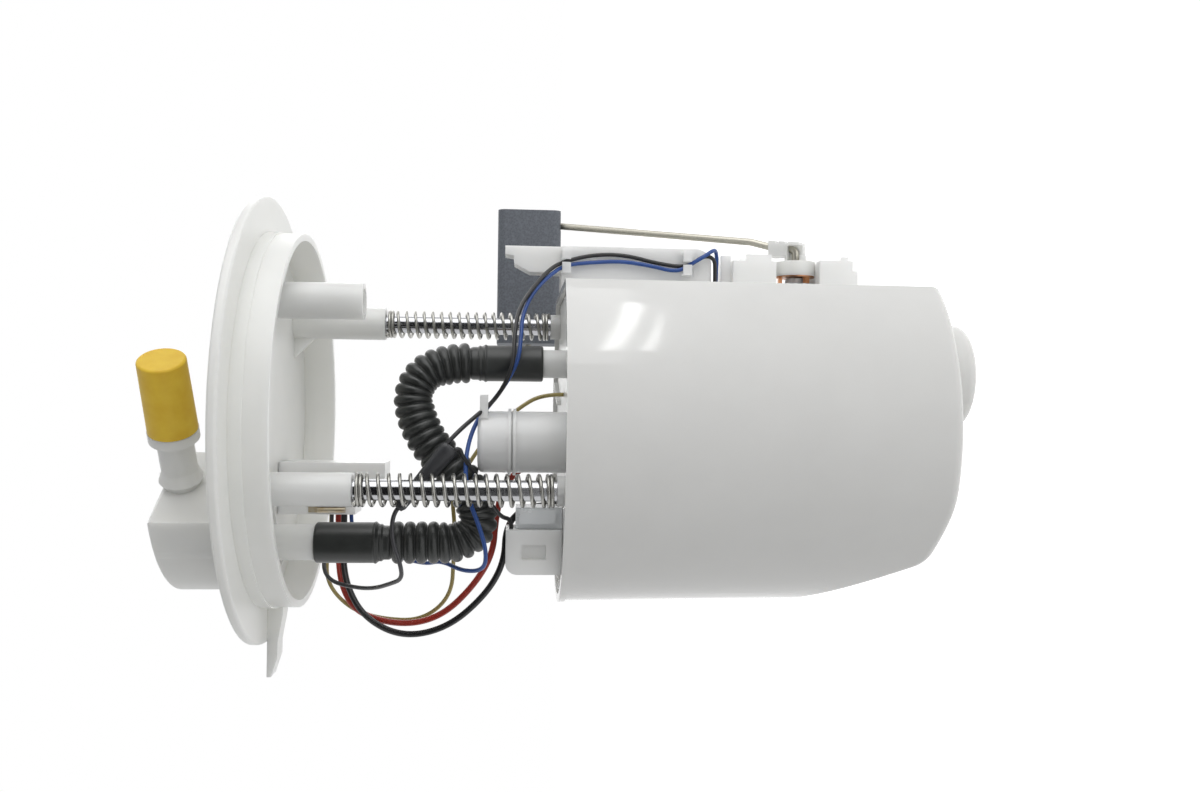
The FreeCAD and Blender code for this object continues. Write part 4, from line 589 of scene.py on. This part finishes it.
def ease_bends(hose, line, radii):
    """Lowers the ribs on the inner side of each bend, where the wall is squeezed together."""
    for i, centre in enumerate(line):
        k = min(max(i, BEND_REACH), len(line) - 1 - BEND_REACH)
        back = line[k] - line[k - BEND_REACH]
        inward = (line[k + BEND_REACH] - line[k] - back) / back.length_squared
        height = max(radii[i] - VALLEY_RADIUS * MM, 0.0) / radii[i]
        for vertex in hose.data.vertices[i * HOSE_SIDES : (i + 1) * HOSE_SIDES]:
            out = vertex.co - centre
            vertex.co = centre + out * (1 - height * min(max(out.dot(inward), 0.0), SQUEEZE_LIMIT))


line, run = laid_line("fuel_hose_line", HOSE_ROUTE, HOSE_STEP)
radii = hose_radii(line, run)
hose = tube_mesh("corrugated_hose", line, radii, HOSE_SIDES, hose_rubber)
ease_bends(hose, line, radii)
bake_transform(hose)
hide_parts("fuel_hose")

# Splice sleeve: polyolefin tube shrunk over the joint of the two ground wires. It is flat and
# wide where the pair goes in and narrow at the single lead.
SLEEVE_TOP = Vector((-6.6, -37.0, -58.4))
SLEEVE_AIM = Vector((-0.768, -0.017, 0.64)).normalized()
SLEEVE_LENGTH = 23.4
SLEEVE_WIDE = 2.7
SLEEVE_FLAT = 1.3
SLEEVE_NARROW = 1.8
SLEEVE_MOUTHS = (0.75, 0.7)
SLEEVE_FLARE = 6.0
SLEEVE_STEPS = 40
SLEEVE_SIDES = 24

shrunk_tube, tree, shader = new_material("polyolefin shrink tube", {
    "Base Color": linear("#303134"), "Roughness": 0.42, "IOR": 1.5})
# Charcoal and half matt, with soft wrinkles from the hot air that shrank it.
place = add(tree, "ShaderNodeTexCoord")
wrinkles = add(tree, "ShaderNodeTexNoise", values={"Scale": 1 / (1.6 * MM), "Detail": 3.0}, links={
    "Vector": place.outputs["Object"]})
skin = add(tree, "ShaderNodeBump", values={"Strength": 0.4, "Distance": 0.12 * MM}, links={
    "Height": wrinkles.outputs["Fac"]})
tree.links.new(skin.outputs["Normal"], shader.inputs["Normal"])

line = []
flats = []
wides = []
for i in range(SLEEVE_STEPS + 1):
    share = i / SLEEVE_STEPS
    line.append((SLEEVE_TOP + SLEEVE_AIM * SLEEVE_LENGTH * share) * MM)
    end_round = min(1.0, SLEEVE_MOUTHS[0] + SLEEVE_FLARE * share,
                    SLEEVE_MOUTHS[1] + SLEEVE_FLARE * (1 - share))
    ease = share * share * (3 - 2 * share)
    wides.append((SLEEVE_WIDE + (SLEEVE_NARROW - SLEEVE_WIDE) * ease) * end_round * MM)
    flats.append(SLEEVE_FLAT * end_round * MM)
sleeve = tube_mesh("shrunk_sleeve", line, flats, SLEEVE_SIDES, shrunk_tube, wides, Vector((0, 1, 0)))
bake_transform(sleeve)
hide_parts("splice_sleeve")

# Wires: stranded copper in thin extruded insulation. Two come from the level sender, clipped to
# its rail; the others run from the harness plug to the pump, the filter's ground and the sender.
SENDER_WIRE = 0.65
POWER_WIRE = 1.0
WIRE_STEP = 0.7
WIRE_FACETS = 14
INSULATION = {
    "blue_insulation": ("#1B3F80", "#28539F"),
    "black_insulation": ("#121214", "#1E1E21"),
    "grey_insulation": ("#2E2E31", "#404044"),
    "red_insulation": ("#982619", "#BC3A2A"),
    "olive_insulation": ("#95854A", "#B6A76C"),
}
TWIN_OFFSET = 1.5
sleeve_end = SLEEVE_TOP + SLEEVE_AIM * SLEEVE_LENGTH
twin_side = SLEEVE_AIM.cross(Vector((0, 1, 0))).normalized() * TWIN_OFFSET
sender_black_end = SLEEVE_TOP - twin_side
link_start = SLEEVE_TOP + twin_side
insulation = {}
for slot_name, (dark, light) in INSULATION.items():
    coat, tree, shader = new_material(slot_name.replace("_", " ") + ", extruded", {
        "Roughness": 0.36, "IOR": 1.53})
    # Smooth and half glossy, with slow changes of shade along the wire where it was handled.
    place = add(tree, "ShaderNodeTexCoord")
    handled = add(tree, "ShaderNodeTexNoise", values={"Scale": 1 / (6 * MM), "Detail": 5.0}, links={
        "Vector": place.outputs["Object"]})
    tint = add(tree, "ShaderNodeMix", {"data_type": "RGBA"}, {
        "A": linear(dark), "B": linear(light)}, {"Factor": handled.outputs["Fac"]})
    tree.links.new(tint.outputs["Result"], shader.inputs["Base Color"])
    ripple = add(tree, "ShaderNodeBump", values={"Strength": 0.3, "Distance": 0.05 * MM}, links={
        "Height": handled.outputs["Fac"]})
    tree.links.new(ripple.outputs["Normal"], shader.inputs["Normal"])
    insulation[slot_name] = coat

WIRES = {
    "sender_wire_blue": ("blue_insulation", SENDER_WIRE, 251.9, [
        (46.02, 1.6, -142.2), (50.4, 1.6, -142.2), (54.4, 1.2, -142.4), (56.8, -1.2, -141.6),
        (56.6, -4.4, -140.2), (54.4, -5.3, -137.1), (52.3, -5.0, -133.6), (49.1, -4.8, -128.6),
        (51.1, -4.2, -120.0), (52.5, -3.6, -110.7), (51.9, -3.4, -100.9), (50.9, -3.6, -92.2),
        (47.0, -8.6, -87.3), (41.0, -15.0, -82.0), (33.5, -20.6, -78.6), (25.7, -25.4, -78.3),
        (18.8, -27.8, -77.5), (11.5, -27.6, -73.7), (4.8, -26.4, -68.6), (2.4, -27.2, -66.3),
        (-4.0, -31.0, -63.5), (-12.0, -35.2, -62.4), (-21.1, -36.8, -63.3), (-29.4, -37.0, -66.8),
        (-37.3, -36.2, -69.1), (-43.0, -32.8, -68.3), (-44.3, -26.6, -62.0), (-42.1, -18.6, -54.9),
        (-44.4, -10.6, -49.6), (-43.2, -2.4, -40.2), (-41.6, 5.4, -31.4), (-38.6, 11.6, -25.4),
        (-34.8, 15.0, -23.0), (-31.02, 15.0, -23.0)]),
    "sender_wire_black": ("black_insulation", SENDER_WIRE, 140.4, [
        (46.02, -2.2, -141.2), (49.8, -2.3, -141.2), (54.2, -3.0, -140.9), (55.0, -3.4, -137.2),
        (50.8, -3.4, -131.9), (52.0, -3.4, -121.9), (54.4, -3.3, -112.4), (54.6, -3.3, -102.8),
        (52.3, -3.6, -92.6), (49.3, -7.8, -87.5), (42.8, -14.6, -82.3), (35.2, -21.2, -77.5),
        (26.8, -26.6, -76.3), (19.0, -29.8, -76.3), (12.0, -29.6, -73.9), (6.3, -27.6, -70.0),
        (2.5, -31.0, -65.5), tuple(sender_black_end - SLEEVE_AIM * 3.4),
        tuple(sender_black_end + SLEEVE_AIM * 2.0)]),
    "link_wire_black": ("black_insulation", SENDER_WIRE, 38.8, [
        tuple(link_start + SLEEVE_AIM * 2.0), tuple(link_start - SLEEVE_AIM * 1.6),
        (-8.9, -36.6, -61.4), (-11.8, -35.4, -63.5), (-15.0, -34.2, -65.8), (-20.3, -34.4, -68.1),
        (-24.7, -33.8, -71.0), (-27.8, -29.4, -73.4), (-28.6, -26.2, -76.1), (-31.48, -26.2, -76.1)]),
    "ground_lead_grey": ("grey_insulation", SENDER_WIRE, 86.2, [
        tuple(sleeve_end), tuple(sleeve_end + SLEEVE_AIM * 2.4), (-33.6, -37.4, -41.8),
        (-40.4, -36.6, -44.2), (-45.6, -33.0, -44.6), (-48.0, -27.0, -40.3), (-50.6, -19.0, -34.9),
        (-51.8, -10.6, -28.3), (-51.0, -2.4, -18.6), (-46.3, 5.2, -15.2), (-39.2, 10.6, -17.2),
        (-34.6, 11.4, -17.2), (-31.02, 11.4, -17.2)]),
    "power_wire_black": ("black_insulation", POWER_WIRE, 120.8, [
        (-31.02, 11.6, -21.2), (-36.2, 11.6, -21.2), (-44.4, 9.2, -21.2), (-54.0, 4.4, -23.4),
        (-63.0, -1.6, -30.0), (-67.7, -8.2, -42.7), (-64.0, -11.8, -56.9), (-53.5, -12.6, -68.6),
        (-43.5, -12.6, -74.1), (-32.7, -12.2, -74.4), (-27.2, -11.4, -78.8), (-25.6, -10.8, -85.0),
        (-25.6, -10.8, -92.48)]),
    "power_wire_red": ("red_insulation", POWER_WIRE, 130.3, [
        (-31.02, 16.6, -18.6), (-36.4, 16.6, -18.6), (-44.2, 13.4, -19.1), (-54.4, 8.4, -21.0),
        (-62.4, 3.2, -26.9), (-64.7, -4.6, -42.1), (-61.2, -8.4, -54.5), (-51.8, -9.6, -64.2),
        (-41.4, -10.0, -70.5), (-30.1, -9.8, -71.2), (-21.0, -9.6, -73.0), (-14.8, -9.6, -77.8),
        (-12.2, -9.2, -84.6), (-12.2, -9.2, -92.48)]),
    "signal_wire_olive": ("olive_insulation", SENDER_WIRE, 146.5, [
        (-31.02, 20.6, -15.6), (-36.8, 20.6, -15.6), (-44.8, 17.0, -14.9), (-54.0, 11.6, -15.8),
        (-61.5, 7.0, -24.1), (-64.0, 3.0, -34.8), (-63.8, -0.8, -48.1), (-55.4, -4.2, -57.5),
        (-42.4, -6.6, -58.1), (-32.8, -7.6, -58.4), (-22.3, -7.8, -57.2), (-12.2, -7.2, -62.9),
        (-3.0, -5.0, -69.4), (4.4, -2.0, -77.6), (9.2, 0.6, -85.4), (9.2, 0.6, -92.48)]),
}
for name, (slot_name, radius, length, route) in WIRES.items():
    line, _ = laid_line(name + "_line", route, WIRE_STEP)
    wire = tube_mesh("laid_" + name, line, [radius * MM] * len(line), WIRE_FACETS,
                     insulation[slot_name])
    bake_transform(wire)
    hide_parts(name)

# Float and its arm: a block of closed-cell nitrile foam on a bent steel wire. It rides on the
# fuel and turns the sender's wiper.
float_foam_painted_sheen, tree, shader = new_material("nitrile foam, moulded skin", {
    "IOR": 1.45, "Roughness": 0.62})
# Dull, with the fine pits of the cells under its skin. Its slate grey is paler than the foam's own
# dark grey: painted sheen of a glossy plastic wrap round the float.
place = add(tree, "ShaderNodeTexCoord")
cells = add(tree, "ShaderNodeTexVoronoi", values={"Scale": 1 / (0.7 * MM)}, links={
    "Vector": place.outputs["Object"]})
tint = add(tree, "ShaderNodeMix", {"data_type": "RGBA"}, {
    "A": linear("#5C6067"), "B": linear("#72777F")}, {"Factor": cells.outputs["Distance"]})
tree.links.new(tint.outputs["Result"], shader.inputs["Base Color"])
skin = add(tree, "ShaderNodeBump", values={"Strength": 0.25, "Distance": 0.06 * MM}, links={
    "Height": cells.outputs["Distance"]})
tree.links.new(skin.outputs["Normal"], shader.inputs["Normal"])
dress(float_foam_painted_sheen, "float")

arm_steel, tree, shader = new_material("stainless steel wire, passivated", {"Metallic": 1.0})
# Straw grey with a dull shine, and faint uneven marks from drawing.
place = add(tree, "ShaderNodeTexCoord")
lines = add(tree, "ShaderNodeTexNoise", values={"Scale": 1 / (0.9 * MM), "Detail": 5.0}, links={
    "Vector": place.outputs["Object"]})
tint = add(tree, "ShaderNodeMix", {"data_type": "RGBA"}, {
    "A": linear("#A5A296"), "B": linear("#CBC8BC")}, {"Factor": lines.outputs["Fac"]})
tree.links.new(tint.outputs["Result"], shader.inputs["Base Color"])
dull = add(tree, "ShaderNodeMapRange", values={"To Min": 0.28, "To Max": 0.45}, links={
    "Value": lines.outputs["Fac"]})
tree.links.new(dull.outputs["Result"], shader.inputs["Roughness"])
dress(arm_steel, "float_arm")

# Level sender's electrical pieces: a glazed ceramic card with printed resistor tracks, and a
# copper alloy wiper and contacts.
ceramic_card, tree, shader = new_material("ceramic card, screen printed", {
    "Roughness": 0.4, "IOR": 1.7})
# Pale grey ceramic under dark curved tracks.
place = add(tree, "ShaderNodeTexCoord")
tracks = add(tree, "ShaderNodeTexWave", {"wave_type": "RINGS", "rings_direction": "X"}, {
    "Scale": 1 / (9 * MM), "Distortion": 0.0}, {"Vector": place.outputs["Object"]})
tint = add(tree, "ShaderNodeMix", {"data_type": "RGBA"}, {
    "A": linear("#6B7074"), "B": linear("#C9CCCC")}, {"Factor": tracks.outputs["Fac"]})
tree.links.new(tint.outputs["Result"], shader.inputs["Base Color"])
dress(ceramic_card, "resistor_card")

copper, tree, shader = new_material("copper alloy, stamped", {"Metallic": 1.0})
# Bright pinkish metal, stained brown here and there by handling.
place = add(tree, "ShaderNodeTexCoord")
stain = add(tree, "ShaderNodeTexNoise", values={"Scale": 1 / (1.5 * MM), "Detail": 4.0}, links={
    "Vector": place.outputs["Object"]})
tint = add(tree, "ShaderNodeMix", {"data_type": "RGBA"}, {
    "A": linear("#A86A42"), "B": linear("#DDA87E")}, {"Factor": stain.outputs["Fac"]})
tree.links.new(tint.outputs["Result"], shader.inputs["Base Color"])
dull = add(tree, "ShaderNodeMapRange", values={"To Min": 0.22, "To Max": 0.42}, links={
    "Value": stain.outputs["Fac"]})
tree.links.new(dull.outputs["Result"], shader.inputs["Roughness"])
dress(copper, "wiper", "sender_contacts", "commutator")

# Socket pins and wire tags: brass strip, stamped and tin plated. The pins stand in the cover's
# socket, and the tags are crimped on the wires.
tinned_brass, tree, shader = new_material("brass, stamped and tinned", {
    "Metallic": 1.0, "Roughness": 0.28})
# Silvery with a warm cast where the tin is thin.
place = add(tree, "ShaderNodeTexCoord")
thin = add(tree, "ShaderNodeTexNoise", values={"Scale": 1 / (2.2 * MM), "Detail": 3.0}, links={
    "Vector": place.outputs["Object"]})
tint = add(tree, "ShaderNodeMix", {"data_type": "RGBA"}, {
    "A": linear("#B3924A"), "B": linear("#D6D4CC")}, {"Factor": thin.outputs["Fac"]})
tree.links.new(tint.outputs["Result"], shader.inputs["Base Color"])
dress(tinned_brass, "connector_pins", "wire_tags")

# Pump motor: a zinc plated steel case, sintered ferrite magnets, a bright iron armature and
# carbon brushes.
plated_steel, tree, shader = new_material("steel, zinc plated", {
    "Metallic": 1.0, "Roughness": 0.34})
# Cool grey and half bright, mottled by the plating's crystals.
place = add(tree, "ShaderNodeTexCoord")
spangle = add(tree, "ShaderNodeTexVoronoi", values={"Scale": 1 / (2.5 * MM)}, links={
    "Vector": place.outputs["Object"]})
tint = add(tree, "ShaderNodeMix", {"data_type": "RGBA"}, {
    "A": linear("#A3A6AA"), "B": linear("#C4C7CA")}, {"Factor": spangle.outputs["Distance"]})
tree.links.new(tint.outputs["Result"], shader.inputs["Base Color"])
dress(plated_steel, "pump_case", "pressure_regulator", "check_valve_spring", "armature")

# The check valve's spring stands on the valve, its upper end held in the pump's head.
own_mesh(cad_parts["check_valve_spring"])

sintered, tree, shader = new_material("sintered ferrite and carbon", {"Roughness": 0.72})
# Nearly black and matt, with a sooty grain.
place = add(tree, "ShaderNodeTexCoord")
soot = add(tree, "ShaderNodeTexNoise", values={"Scale": 1 / (0.5 * MM), "Detail": 4.0}, links={
    "Vector": place.outputs["Object"]})
tint = add(tree, "ShaderNodeMix", {"data_type": "RGBA"}, {
    "A": linear("#232326"), "B": linear("#3D3D40")}, {"Factor": soot.outputs["Fac"]})
tree.links.new(tint.outputs["Result"], shader.inputs["Base Color"])
dress(sintered, "motor_magnets", "motor_brushes")

# Pump end pieces: grey glass-filled polyphenylene sulphide, moulded, for the pump's head, plates
# and impeller.
grey_resin, tree, shader = new_material("glass-filled resin, moulded", {"Roughness": 0.55})
# Mid grey and matt, with pale flecks of fibre at the surface.
place = add(tree, "ShaderNodeTexCoord")
fibres = add(tree, "ShaderNodeTexNoise", values={"Scale": 1 / (0.8 * MM), "Detail": 6.0}, links={
    "Vector": place.outputs["Object"]})
tint = add(tree, "ShaderNodeMix", {"data_type": "RGBA"}, {
    "A": linear("#8A8B8D"), "B": linear("#ADAEAF")}, {"Factor": fibres.outputs["Fac"]})
tree.links.new(tint.outputs["Result"], shader.inputs["Base Color"])
dress(grey_resin, "pump_head", "chamber_plate", "pump_inlet_cover", "impeller")

# Seal and cushion: nitrile rubber, moulded. The ring seals the regulator, and the cushion keeps
# the pump's hum from the reservoir.
nitrile, tree, shader = new_material("nitrile rubber, moulded", {"Roughness": 0.58})
# Black and dull with a fine grain.
place = add(tree, "ShaderNodeTexCoord")
grain = add(tree, "ShaderNodeTexNoise", values={"Scale": 1 / (0.6 * MM), "Detail": 3.0}, links={
    "Vector": place.outputs["Object"]})
tint = add(tree, "ShaderNodeMix", {"data_type": "RGBA"}, {
    "A": linear("#1C1D1E"), "B": linear("#2C2D2E")}, {"Factor": grain.outputs["Fac"]})
tree.links.new(tint.outputs["Result"], shader.inputs["Base Color"])
dress(nitrile, "regulator_seal", "pump_cushion")

# Filter element and strainer sock: pleated cellulose paper, and a bag of woven polyamide mesh.
filter_paper, tree, shader = new_material("cellulose filter paper, pleated", {"Roughness": 0.9})
# Cream and fibrous, without gloss.
place = add(tree, "ShaderNodeTexCoord")
fibres = add(tree, "ShaderNodeTexNoise", values={"Scale": 1 / (0.7 * MM), "Detail": 8.0}, links={
    "Vector": place.outputs["Object"]})
tint = add(tree, "ShaderNodeMix", {"data_type": "RGBA"}, {
    "A": linear("#D8CDA4"), "B": linear("#EFE7C8")}, {"Factor": fibres.outputs["Fac"]})
tree.links.new(tint.outputs["Result"], shader.inputs["Base Color"])
dress(filter_paper, "filter_element")

WEAVE_PITCH = 0.6 * MM
BAND_LENGTH = 0.314
sock_weave, tree, shader = new_material("polyamide mesh, woven", {"Roughness": 0.7})
# White and dull, with a square weave drawn twice as coarse as the real one so that it shows.
place = add(tree, "ShaderNodeTexCoord")
warp = add(tree, "ShaderNodeTexWave", {"bands_direction": "X"}, {
    "Scale": BAND_LENGTH / WEAVE_PITCH}, {"Vector": place.outputs["Object"]})
weft = add(tree, "ShaderNodeTexWave", {"bands_direction": "Y"}, {
    "Scale": BAND_LENGTH / WEAVE_PITCH}, {"Vector": place.outputs["Object"]})
cross = add(tree, "ShaderNodeMath", {"operation": "MAXIMUM"}, links={
    0: warp.outputs["Fac"], 1: weft.outputs["Fac"]})
tint = add(tree, "ShaderNodeMix", {"data_type": "RGBA"}, {
    "A": linear("#B9BAB8"), "B": linear("#EEEEEC")}, {"Factor": cross.outputs[0]})
tree.links.new(tint.outputs["Result"], shader.inputs["Base Color"])
dress(sock_weave, "strainer_sock")

bpy.context.scene.view_settings.view_transform = "Standard"
